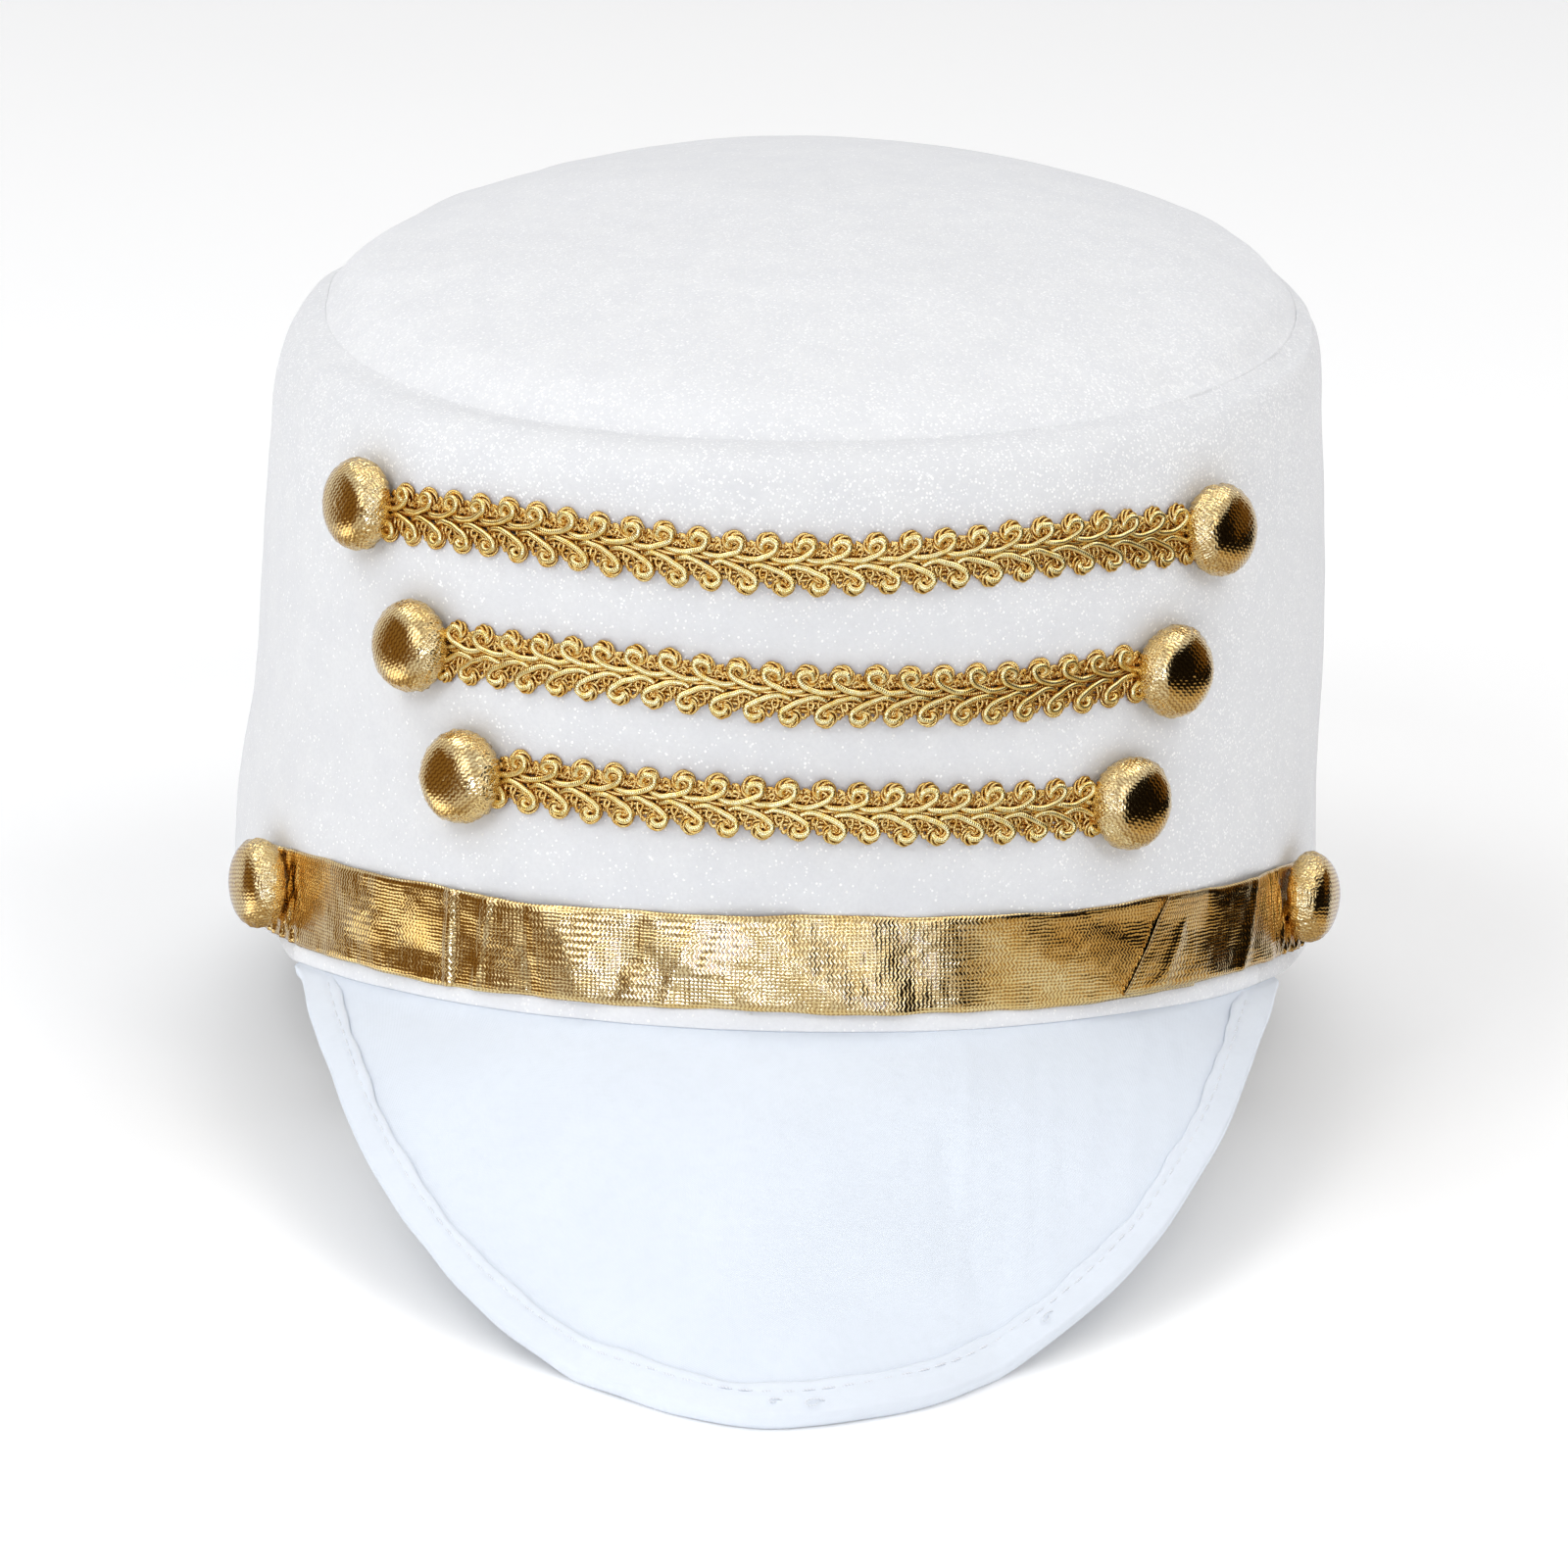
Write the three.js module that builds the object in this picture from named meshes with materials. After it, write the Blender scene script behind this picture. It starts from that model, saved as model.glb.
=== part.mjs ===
// Majorette hat: a tall white velvet crown with a domed, forward leaning top,
// a stiff white peak, a gold lame band and three rows of gold gimp braid that
// run between covered gold buttons.
//
// Units are millimetres, +Z is up, the front of the hat faces -Y and the
// wearer's left is +X. The hat is worked out upright, on the plane of its own
// rim, and is then laid back as it stands on a table: on the front edge of the
// peak and the back of the rim.
//
// A "turn" is a station round the rim, in degrees: 0 at the front, 90 at +X.

import * as THREE from 'three';

// ---------------------------------------------------------------- dimensions

const CLOTH = 2.0;              // crown wall, velvet on a foam backing
const GAP = 0.3;                // between pieces that touch
const OVAL = 1.10;              // length over width of the head oval
const TURN_STEP = 3.75;         // between two stations of the crown

// The crown's outer wall: half width, and how far the section leans to +X.
const WALL = [
  { height: 0, halfWidth: 90.0, lean: 0.0 },
  { height: 20, halfWidth: 89.4, lean: -0.1 },
  { height: 40, halfWidth: 88.2, lean: 1.05 },
  { height: 60, halfWidth: 87.8, lean: 1.7 },
  { height: 75, halfWidth: 87.15, lean: 1.85 },
  { height: 90, halfWidth: 86.2, lean: 1.8 },
  { height: 125, halfWidth: 85.6, lean: 1.8 },
];

// The top seam lies in a plane that leans forward, and sags at the sides and
// towards the back.
const SEAM = { centreHeight: 105, slope: 0.203, sideSlope: 0.025, sideSag: 4.0, backSag: 4.2 };

// The wall rounds over before the seam: how far in, over what height, and how
// much the seam lies below the rounded edge.
const SHOULDER = [
  { turn: -180, inset: 6.5, drop: 9, dip: -0.4 },
  { turn: -120, inset: 6.2, drop: 11, dip: -0.4 },
  { turn: -104, inset: 5.8, drop: 15, dip: -0.2 },
  { turn: -90, inset: 7.6, drop: 15, dip: 0.2 },
  { turn: -45, inset: 8.2, drop: 9, dip: 0.9 },
  { turn: 0, inset: 8.5, drop: 5, dip: 0.9 },
  { turn: 45, inset: 6.5, drop: 7, dip: 0.9 },
  { turn: 90, inset: 4.6, drop: 12, dip: 0.2 },
  { turn: 105, inset: 4.2, drop: 11, dip: -0.2 },
  { turn: 125, inset: 5.3, drop: 10, dip: -0.4 },
  { turn: 180, inset: 6.5, drop: 9, dip: -0.4 },
];
const CREST = 0.8;              // share of the inset where the edge is highest

// The top panel swells above its seam plane.
const TOP_SWELL = [
  { reach: 0, rise: 14.6 },
  { reach: 0.25, rise: 14.2 },
  { reach: 0.5, rise: 12.8 },
  { reach: 0.72, rise: 10.4 },
  { reach: 0.88, rise: 7.2 },
  { reach: 0.96, rise: 4.0 },
  { reach: 1, rise: 0 },
];

// Where the back of the rim rests it is pressed flat.
const REST_BACK = 93;           // half length at which the pressed part begins

// Past the peak's ends the hem rises to the band's lower edge.
const HEM_RISE = [
  { turn: -140, rise: 0 },
  { turn: -105, rise: 1.2 },
  { turn: -75, rise: 2.5 },
  { turn: -62.5, rise: 2.5 },
  { turn: -58, rise: 0 },
  { turn: 66, rise: 0 },
  { turn: 76, rise: 1.4 },
  { turn: 100, rise: 1.2 },
  { turn: 135, rise: 0 },
];

// The peak: length down the slope from the rim to the outer edge.
const PEAK = [
  { turn: -60, length: 0.5 },
  { turn: -56, length: 1.4 },
  { turn: -48, length: 8.6 },
  { turn: -40, length: 18.0 },
  { turn: -32, length: 30.5 },
  { turn: -24, length: 44.5 },
  { turn: -16, length: 58.7 },
  { turn: -8, length: 70.4 },
  { turn: 0, length: 77.7 },
  { turn: 8, length: 72.5 },
  { turn: 16, length: 60.9 },
  { turn: 24, length: 48.3 },
  { turn: 32, length: 35.0 },
  { turn: 40, length: 23.1 },
  { turn: 48, length: 13.1 },
  { turn: 56, length: 5.8 },
  { turn: 62, length: 1.7 },
  { turn: 64, length: 0.8 },
];
const PEAK_FROM = -57;
const PEAK_TO = 63;
const PEAK_CENTRE = 1.5;        // turn of the peak's middle line
const PEAK_SLOPE = 33;          // below the rim plane at the middle, degrees
const PEAK_END_SLOPE = 33;      // and at its two ends
const PEAK_FLAT = 12;           // the edge rests on the table this far each way
const PEAK_BOARD = 1.4;         // stiffened cloth
const FLANGE_TOP = 9;           // the peak's sewn flange, inside the rim
const FLANGE_CLOTH = 1.4;
const BINDING_WIDTH = 7.0;
const BINDING_CLOTH = 0.4;

// The gold band: a ribbon round the front of the rim.
const BAND = { from: -65, to: 69.5, bottom: 3.1, top: 17.9, thickness: 0.8 };

// Covered buttons: one size, radius against height above the cloth.
const BUTTON = [
  { radius: 0, height: 0 },
  { radius: 5.4, height: 0 },
  { radius: 7.0, height: 1.4 },
  { radius: 7.4, height: 2.8 },
  { radius: 7.1, height: 4.2 },
  { radius: 5.7, height: 5.6 },
  { radius: 3.3, height: 6.5 },
  { radius: 0, height: 6.9 },
];
const BUTTON_SIDES = 20;
const BUTTON_CLEAR = 7.5;       // the braid stops this far from a button's centre

const BUTTONS = [
  { name: 'button_top_left', turn: -49.1, height: 74.7, over: 0 },
  { name: 'button_top_right', turn: 46.5, height: 74.5, over: 0 },
  { name: 'button_middle_left', turn: -40.2, height: 54.4, over: 0 },
  { name: 'button_middle_right', turn: 40.4, height: 53.6, over: 0 },
  { name: 'button_bottom_left', turn: -32.7, height: 35.4, over: 0 },
  { name: 'button_bottom_right', turn: 35.8, height: 33.7, over: 0 },
  { name: 'button_band_left', turn: -61.3, height: 11.8, over: 1.1 },
  { name: 'button_band_right', turn: 66.7, height: 12.3, over: 1.1 },
];

// Gimp braid: half width between and at the picots, and its thickness.
const BRAID = { waist: 4.15, picot: 5.0, edge: 1.2, spine: 1.9, spineHalf: 1.4, pitch: 5.3 };
const BRAIDS = [
  {
    name: 'braid_top', left: 'button_top_left', right: 'button_top_right',
    line: [
      { turn: -49, height: 74.4 }, { turn: -32, height: 74.3 }, { turn: -21, height: 73.4 },
      { turn: -11, height: 72.2 }, { turn: -1, height: 71.4 }, { turn: 8, height: 71.8 },
      { turn: 18, height: 72.9 }, { turn: 29, height: 74.2 }, { turn: 46, height: 74.5 },
    ],
  },
  {
    name: 'braid_middle', left: 'button_middle_left', right: 'button_middle_right',
    line: [
      { turn: -40, height: 54.6 }, { turn: -24, height: 54.2 }, { turn: -15, height: 53.7 },
      { turn: -6, height: 52.6 }, { turn: 2, height: 51.7 }, { turn: 20, height: 51.9 },
      { turn: 28, height: 52.8 }, { turn: 40, height: 54.2 },
    ],
  },
  {
    name: 'braid_bottom', left: 'button_bottom_left', right: 'button_bottom_right',
    line: [
      { turn: -33, height: 36.4 }, { turn: -19, height: 35.6 }, { turn: -4, height: 34.7 },
      { turn: 12, height: 33.8 }, { turn: 24, height: 33.5 }, { turn: 36, height: 33.9 },
    ],
  },
];

// ----------------------------------------------------------------- materials

const velvet = () => new THREE.MeshStandardMaterial({ color: 0xf1f3f7, roughness: 0.9, metalness: 0 });
const cotton = () => new THREE.MeshStandardMaterial({ color: 0xeef3fb, roughness: 0.75, metalness: 0 });
const lame = () => new THREE.MeshStandardMaterial({ color: 0xd2aa52, roughness: 0.32, metalness: 0.9 });
const gimp = () => new THREE.MeshStandardMaterial({ color: 0xdcae3e, roughness: 0.42, metalness: 0.6 });

// ------------------------------------------------------------------- helpers

const rad = THREE.MathUtils.degToRad;
const lerp = THREE.MathUtils.lerp;

// A value from a table, smooth between its rows.
function from(rows, key, column, at) {
  if (at <= rows[0][key]) return rows[0][column];
  const last = rows.length - 1;
  if (at >= rows[last][key]) return rows[last][column];
  let i = 0;
  while (at > rows[i + 1][key]) i++;
  const x0 = rows[i][key], x1 = rows[i + 1][key];
  const y0 = rows[i][column], y1 = rows[i + 1][column];
  const slope = (a, b) => (rows[b][column] - rows[a][column]) / (rows[b][key] - rows[a][key]);
  const here = slope(i, i + 1);
  const before = i > 0 ? slope(i - 1, i) : here;
  const after = i + 1 < last ? slope(i + 1, i + 2) : here;
  const tangent = (a, b) => (a * b <= 0 ? 0 : (2 * a * b) / (a + b));   // keeps bumps out
  const m0 = i > 0 ? tangent(before, here) : here;
  const m1 = i + 1 < last ? tangent(here, after) : here;
  const w = x1 - x0, t = (at - x0) / w, t2 = t * t, t3 = t2 * t;
  return (2 * t3 - 3 * t2 + 1) * y0 + (t3 - 2 * t2 + t) * w * m0
    + (-2 * t3 + 3 * t2) * y1 + (t3 - t2) * w * m1;
}

// The point over the crown's outer wall at a turn and height, "out" from it.
function overWall(turn, height, out) {
  const a = from(WALL, 'height', 'halfWidth', height), b = a * OVAL;
  const s = Math.sin(rad(turn)), c = Math.cos(rad(turn));
  const n = new THREE.Vector2(s / a, -c / b).normalize();
  return new THREE.Vector3(from(WALL, 'height', 'lean', height) + a * s + out * n.x, -b * c + out * n.y, height);
}

// The wall's own outward direction, square to the cloth.
function wallNormal(turn, height) {
  const round = overWall(turn + 0.5, height, 0).sub(overWall(turn - 0.5, height, 0));
  const up = overWall(turn, height + 1, 0).sub(overWall(turn, height - 1, 0));
  return round.cross(up).normalize();
}

const seamHeight = (x, y) => SEAM.centreHeight + SEAM.slope * y + SEAM.sideSlope * x
  - SEAM.sideSag * (x / 84) ** 2 - SEAM.backSag * Math.max(0, y / 85) ** 1.5;

const smooth = (t) => { const u = THREE.MathUtils.clamp(t, 0, 1); return u * u * (3 - 2 * u); };

// One closed body from a row of like sections: each is a loop of points. The
// row closes on itself, or its two ends are capped.
function loft(name, material, sections, { ring = false, capOutline = null } = {}) {
  const k = sections[0].length, n = sections.length;
  const position = [], index = [];
  for (const s of sections) for (const p of s) position.push(p.x, p.y, p.z);
  for (let i = 0; i < (ring ? n : n - 1); i++) {
    const j = (i + 1) % n;
    for (let a = 0; a < k; a++) {
      const b = (a + 1) % k;
      index.push(i * k + a, i * k + b, j * k + b, i * k + a, j * k + b, j * k + a);
    }
  }
  if (!ring) {
    const way = THREE.ShapeUtils.area(capOutline);
    const end = (n - 1) * k;
    for (const face of THREE.ShapeUtils.triangulateShape(capOutline, [])) {
      const same = THREE.ShapeUtils.area(face.map((i) => capOutline[i])) * way > 0;
      const [a, b, c] = same ? face : [face[0], face[2], face[1]];
      index.push(a, c, b);
      index.push(end + a, end + b, end + c);
    }
  }
  return closed(name, material, position, index);
}

// A mesh from points and triangles, turned so that its faces look outward.
function closed(name, material, position, index) {
  const at = (i) => new THREE.Vector3().fromArray(position, i * 3);
  let volume = 0;
  for (let i = 0; i < index.length; i += 3) {
    volume += at(index[i]).dot(at(index[i + 1]).cross(at(index[i + 2])));
  }
  if (volume < 0) for (let i = 0; i < index.length; i += 3) [index[i + 1], index[i + 2]] = [index[i + 2], index[i + 1]];
  const geometry = new THREE.BufferGeometry();
  geometry.setAttribute('position', new THREE.Float32BufferAttribute(position, 3));
  geometry.setIndex(index);
  geometry.computeVertexNormals();
  const mesh = new THREE.Mesh(geometry, material);
  mesh.name = name;
  return mesh;
}

// Turns from one to another in nearly even steps, on the crown's own stations.
function turnsBetween(start, end, step) {
  const turns = [start];
  for (let t = Math.ceil((start + step * 0.35) / step) * step; t < end - step * 0.35; t += step) turns.push(t);
  turns.push(end);
  return turns;
}

// -------------------------------------------------------- how the hat stands

// The peak's underside at the outer edge, in the peak's own slope frame.
const EDGE_IN = 0.6;
const UNDER = PEAK_BOARD + GAP + BINDING_CLOTH;      // below the board's top face
const ROOT = -GAP / Math.cos(rad(PEAK_SLOPE));       // the board's top under the hem

function peakPoint(turn, slope, along, up) {
  const b = rad(slope);
  const out = along * Math.cos(b) + up * Math.sin(b);
  const z = ROOT - along * Math.sin(b) + up * Math.cos(b);
  const p = overWall(turn, 0, out);
  return new THREE.Vector3(p.x, p.y, z);
}

const peakLength = (turn) => from(PEAK, 'turn', 'length', turn);
const tip = peakPoint(PEAK_CENTRE, PEAK_SLOPE, peakLength(PEAK_CENTRE) - EDGE_IN, -UNDER);
const LAID_BACK = Math.atan2(-tip.z, REST_BACK - tip.y);    // radians

// The slope that lets the peak's edge lie on the table at a turn.
function restingSlope(turn) {
  const e = overWall(turn, 0, 0), n = overWall(turn, 0, 1).sub(e);
  const s = Math.sin(LAID_BACK), c = Math.cos(LAID_BACK);
  const along = peakLength(turn) - EDGE_IN, m = -n.y * s;
  const a = m * along - UNDER * c, b = -(m * UNDER + along * c);
  const d = -REST_BACK * s + e.y * s - ROOT * c;
  const r = Math.hypot(a, b);
  const base = Math.atan2(b, a), swing = Math.acos(THREE.MathUtils.clamp(d / r, -1, 1));
  const one = THREE.MathUtils.radToDeg(base + swing), two = THREE.MathUtils.radToDeg(base - swing);
  return one > 0 && one < 80 ? one : two;
}

function peakSlope(turn) {
  const away = turn - PEAK_CENTRE, side = Math.sign(away);
  if (Math.abs(away) <= PEAK_FLAT) return restingSlope(turn);
  const atEdge = restingSlope(PEAK_CENTRE + side * PEAK_FLAT);
  const end = side < 0 ? PEAK_CENTRE - PEAK_FROM : PEAK_TO - PEAK_CENTRE;
  return lerp(atEdge, PEAK_END_SLOPE, smooth((Math.abs(away) - PEAK_FLAT) / (end - PEAK_FLAT)));
}

// ---------------------------------------------------------------- crown_side

// The hem: cut to the peak's slope in front, higher past the peak's ends and
// pressed flat where the back rests.
function hem(turn, out) {
  const inPeak = smooth((turn - (PEAK_FROM - 9)) / 9) * smooth((PEAK_TO + 9 - turn) / 9);
  const y = overWall(turn, 0, out).y;
  const slope = peakSlope(THREE.MathUtils.clamp(turn, PEAK_FROM, PEAK_TO));
  return Math.max(-out * Math.tan(rad(slope)) * inPeak, (y - REST_BACK) * Math.tan(LAID_BACK),
    from(HEM_RISE, 'turn', 'rise', turn), 0);
}

const seamAt = (turn) => {
  const inset = from(SHOULDER, 'turn', 'inset', turn);
  const p = overWall(turn, 95, -inset);
  const drop = from(SHOULDER, 'turn', 'drop', turn), dip = from(SHOULDER, 'turn', 'dip', turn);
  return { inset, drop, dip, z: seamHeight(p.x, p.y) };
};

const WALL_SHARES = [0, 0.2, 0.45, 0.72, 1];
const SHOULDER_ARC = [24, 48, 70, 90];

function crownSection(turn) {
  const { inset, drop, dip, z } = seamAt(turn);
  const crest = z + dip, start = crest - drop, across = inset * CREST;
  const outer = [], inner = [];
  for (const share of WALL_SHARES) {
    outer.push([0, lerp(hem(turn, 0), start, share)]);
    inner.push([-CLOTH, lerp(hem(turn, -CLOTH), start, share)]);
  }
  for (const degrees of SHOULDER_ARC) {
    const t = rad(degrees), n = new THREE.Vector2(Math.cos(t) / across, Math.sin(t) / drop).normalize();
    const out = -across * (1 - Math.cos(t)), up = start + drop * Math.sin(t);
    outer.push([out, up]);
    inner.push([out - CLOTH * n.x, up - CLOTH * n.y]);
  }
  outer.push([-inset, z]);
  inner.push([-inset, z - CLOTH]);
  return [...outer, ...inner.reverse()].map(([out, height]) => overWall(turn, height, out));
}

const STATIONS = Math.round(360 / TURN_STEP);
const crownTurns = Array.from({ length: STATIONS }, (_, i) => -180 + i * TURN_STEP);
const crownSide = loft('crown_side', velvet(), crownTurns.map(crownSection), { ring: true });

// ----------------------------------------------------------------- crown_top

function buildTop() {
  const rim = crownTurns.map((turn) => {
    const { inset, z } = seamAt(turn);
    return overWall(turn, z, -inset - GAP);
  });
  const middle = new THREE.Vector3();
  rim.forEach((p) => middle.addScaledVector(p, 1 / rim.length));
  const rings = [];                     // from the middle outward, over the top
  const rows = TOP_SWELL.slice(1);
  const ringAt = (reach, rise, lower) => rim.map((p) => {
    const x = lerp(middle.x, p.x, reach), y = lerp(middle.y, p.y, reach);
    return new THREE.Vector3(x, y, seamHeight(x, y) + rise - lower);
  });
  for (const row of rows) rings.push(ringAt(row.reach, row.rise, 0));
  for (const row of rows.slice().reverse()) rings.push(ringAt(row.reach, row.rise, CLOTH));
  const position = [], index = [], k = rim.length, n = rings.length;
  for (const ring of rings) for (const p of ring) position.push(p.x, p.y, p.z);
  const z = seamHeight(middle.x, middle.y) + TOP_SWELL[0].rise;
  position.push(middle.x, middle.y, z, middle.x, middle.y, z - CLOTH);
  for (let i = 0; i < n - 1; i++) for (let a = 0; a < k; a++) {
    const b = (a + 1) % k;
    index.push(i * k + a, i * k + b, (i + 1) * k + b, i * k + a, (i + 1) * k + b, (i + 1) * k + a);
  }
  for (let a = 0; a < k; a++) {
    const b = (a + 1) % k;
    index.push(n * k, b, a);
    index.push(n * k + 1, (n - 1) * k + a, (n - 1) * k + b);
  }
  return closed('crown_top', velvet(), position, index);
}
const crownTop = buildTop();

// ---------------------------------------------------------------------- band

function bandSection(turn) {
  const inside = GAP, outside = GAP + BAND.thickness, middle = (BAND.bottom + BAND.top) / 2;
  return [[inside, BAND.bottom], [outside, BAND.bottom], [outside, middle], [outside, BAND.top],
    [inside, BAND.top], [inside, middle]].map(([out, z]) => overWall(turn, z, out));
}
const bandOutline = [[0, 0], [1, 0], [1, 5], [1, 10], [0, 10], [0, 5]].map(([x, y]) => new THREE.Vector2(x, y));
const band = loft('gold_band', lame(), turnsBetween(BAND.from, BAND.to, TURN_STEP).map(bandSection), { capOutline: bandOutline });

// -------------------------------------------------------------------- braids

function buildBraid({ name, left, right, line }) {
  const ends = [left, right].map((b) => BUTTONS.find((row) => row.name === b));
  const perDegree = overWall(0.5, 50, 0).distanceTo(overWall(-0.5, 50, 0)) * 1.02;
  const clear = (v, height) => Math.sqrt(Math.max(BUTTON_CLEAR ** 2 - (v + height) ** 2, 1)) / perDegree;
  const picots = Math.round(((ends[1].turn - ends[0].turn) * perDegree - 2 * BUTTON_CLEAR) / BRAID.pitch);
  const steps = picots * 4;
  const sections = [];
  for (let i = 0; i <= steps; i++) {
    const t = i / steps;
    const half = lerp(BRAID.waist, BRAID.picot, Math.abs(Math.sin(Math.PI * picots * t)));
    const profile = [[GAP, -half], [BRAID.edge, -half], [BRAID.spine, -BRAID.spineHalf],
      [BRAID.spine, BRAID.spineHalf], [BRAID.edge, half], [GAP, half]];
    sections.push(profile.map(([out, v]) => {
      const dl = from(line, 'turn', 'height', ends[0].turn) - ends[0].height;
      const dr = from(line, 'turn', 'height', ends[1].turn) - ends[1].height;
      const start = ends[0].turn + clear(v, dl), end = ends[1].turn - clear(v, dr);
      const turn = lerp(start, end, t);
      return overWall(turn, from(line, 'turn', 'height', turn) + v, out);
    }));
  }
  const outline = [[0, -5], [1, -5], [2, -1], [2, 1], [1, 5], [0, 5]].map(([x, y]) => new THREE.Vector2(x, y));
  return loft(name, gimp(), sections, { capOutline: outline });
}

// ------------------------------------------------------------------- buttons

function buildButton({ name, turn, height, over }) {
  const profile = BUTTON.map((row) => new THREE.Vector2(row.radius, row.height));
  const geometry = new THREE.LatheGeometry(profile, BUTTON_SIDES);
  const mesh = new THREE.Mesh(geometry, lame());
  const n = wallNormal(turn, height);
  mesh.name = name;
  mesh.quaternion.setFromUnitVectors(new THREE.Vector3(0, 1, 0), n);
  mesh.position.copy(overWall(turn, height, 0)).addScaledVector(n, GAP + (over ? over + GAP * 0.5 : 0.1));
  return mesh;
}

// ---------------------------------------------------------------------- peak

const PEAK_STEP = 3;
const peakTurns = turnsBetween(PEAK_FROM, PEAK_TO, PEAK_STEP);

// The board and the flange that is sewn inside the rim, in one piece.
function peakSection(turn) {
  const slope = peakSlope(turn), b = rad(slope);
  const flangeOut = -CLOTH - GAP, flangeIn = flangeOut - FLANGE_CLOTH;
  const reach = Math.max(peakLength(turn) - GAP - BINDING_CLOTH, 0.2);
  const topAt = (out) => ROOT - out * Math.tan(b);                           // board's top face
  const underAt = (out) => topAt(out) - PEAK_BOARD / Math.cos(b);            // and its under face
  const p = (out, z) => overWall(turn, z, out);
  return [
    p(flangeIn, FLANGE_TOP), p(flangeOut, FLANGE_TOP), p(flangeOut, topAt(flangeOut)),
    peakPoint(turn, slope, reach * 0.34, 0), peakPoint(turn, slope, reach * 0.68, 0), peakPoint(turn, slope, reach, 0),
    peakPoint(turn, slope, reach, -PEAK_BOARD), peakPoint(turn, slope, reach * 0.68, -PEAK_BOARD),
    peakPoint(turn, slope, reach * 0.34, -PEAK_BOARD), p(flangeIn, underAt(flangeIn)),
  ];
}
const flat = (turn, points) => {        // a section's own plane, for its end caps
  const e = overWall(turn, 0, 0), n = overWall(turn, 0, 1).sub(e);
  return points.map((q) => new THREE.Vector2((q.x - e.x) * n.x + (q.y - e.y) * n.y, q.z));
};
const peak = loft('peak', cotton(), peakTurns.map(peakSection),
  { capOutline: flat(PEAK_FROM, peakSection(PEAK_FROM)) });

// The tape folded over the outer edge.
const BINDING_FROM = -54;
const BINDING_TO = 60;
function bindingSection(turn) {
  const slope = peakSlope(turn), edge = peakLength(turn);
  const width = Math.min(BINDING_WIDTH, edge - 1.0);
  const board = PEAK_BOARD, g = GAP, t = g + BINDING_CLOTH;
  return [
    [edge - width, g], [edge - width, t], [edge - EDGE_IN, t], [edge, t - EDGE_IN],
    [edge, -board - t + EDGE_IN], [edge - EDGE_IN, -board - t], [edge - width, -board - t], [edge - width, -board - g],
    [edge - BINDING_CLOTH, -board - g], [edge - BINDING_CLOTH, g],
  ].map(([along, up]) => peakPoint(turn, slope, along, up));
}
const bindingTurns = [BINDING_FROM, ...peakTurns.filter((t) => t > BINDING_FROM + 0.5 && t < BINDING_TO - 0.5), BINDING_TO];
const binding = loft('peak_binding', cotton(), bindingTurns.map(bindingSection),
  { capOutline: flat(BINDING_FROM, bindingSection(BINDING_FROM)) });

// ------------------------------------------------------------------ assembly

const hat = new THREE.Group();          // upright, on the plane of its rim
hat.add(crownSide, crownTop, band, peak, binding);
BRAIDS.forEach((row) => hat.add(buildBraid(row)));
BUTTONS.forEach((row) => hat.add(buildButton(row)));

const laid = new THREE.Group();         // laid back, as it stands on a table
hat.rotation.x = -LAID_BACK;
laid.add(hat);
laid.updateMatrixWorld(true);
const box = new THREE.Box3().setFromObject(laid, true);
laid.position.set(-(box.min.x + box.max.x) / 2, -(box.min.y + box.max.y) / 2, -box.min.z);

const group = new THREE.Group();
group.add(laid);

export default group;
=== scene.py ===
"""Looks of the majorette hat: white glitter velvet, gold lame, gold gimp braid.

Shapes are worked out in millimetres on the plane of the hat's own rim ("hat"
space: front -Y, up +Z) and laid back into the row frame, in metres, at the end.
A "turn" is a station round the rim in degrees: 0 at the front, 90 at +X.
"""

import math

import bpy
import numpy as np
from mathutils import Matrix, Vector


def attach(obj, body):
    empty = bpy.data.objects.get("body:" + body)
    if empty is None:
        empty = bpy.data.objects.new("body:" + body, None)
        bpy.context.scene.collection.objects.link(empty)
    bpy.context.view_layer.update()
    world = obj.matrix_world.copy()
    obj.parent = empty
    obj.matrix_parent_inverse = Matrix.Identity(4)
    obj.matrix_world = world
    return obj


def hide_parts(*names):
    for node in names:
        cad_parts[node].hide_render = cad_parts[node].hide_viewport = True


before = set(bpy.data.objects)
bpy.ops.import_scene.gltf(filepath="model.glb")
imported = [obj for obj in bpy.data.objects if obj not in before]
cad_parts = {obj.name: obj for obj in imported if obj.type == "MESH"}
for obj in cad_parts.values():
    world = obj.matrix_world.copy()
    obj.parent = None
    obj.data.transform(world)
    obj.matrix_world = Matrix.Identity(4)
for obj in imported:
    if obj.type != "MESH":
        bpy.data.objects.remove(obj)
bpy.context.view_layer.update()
RNG = np.random.default_rng(20417)

# ---------------------------------------------------------------- placement

LAID_BACK = math.radians(9.772870500215596)
SHIFT = np.array([-0.5195788, 28.7094626, 15.78609])


def to_row(p):
    """Hat space in mm to the row frame in metres."""
    c, s = math.cos(LAID_BACK), math.sin(LAID_BACK)
    x, y, z = p[..., 0], p[..., 1], p[..., 2]
    return np.stack([x, y * c + z * s, -y * s + z * c], -1) * 0.001 + SHIFT * 0.001


def settle(p):
    """Lifts whatever would lie under the table onto it."""
    deep = np.minimum(to_row(p)[..., 2] * 1000, 0.0)
    p = p.copy()
    p[..., 2] -= deep / math.cos(LAID_BACK)
    return p


def turn_vector(v):
    c, s = math.cos(LAID_BACK), math.sin(LAID_BACK)
    return np.array([v[0], v[1] * c + v[2] * s, -v[1] * s + v[2] * c])


# ------------------------------------------------------------ the hat's form

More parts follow.
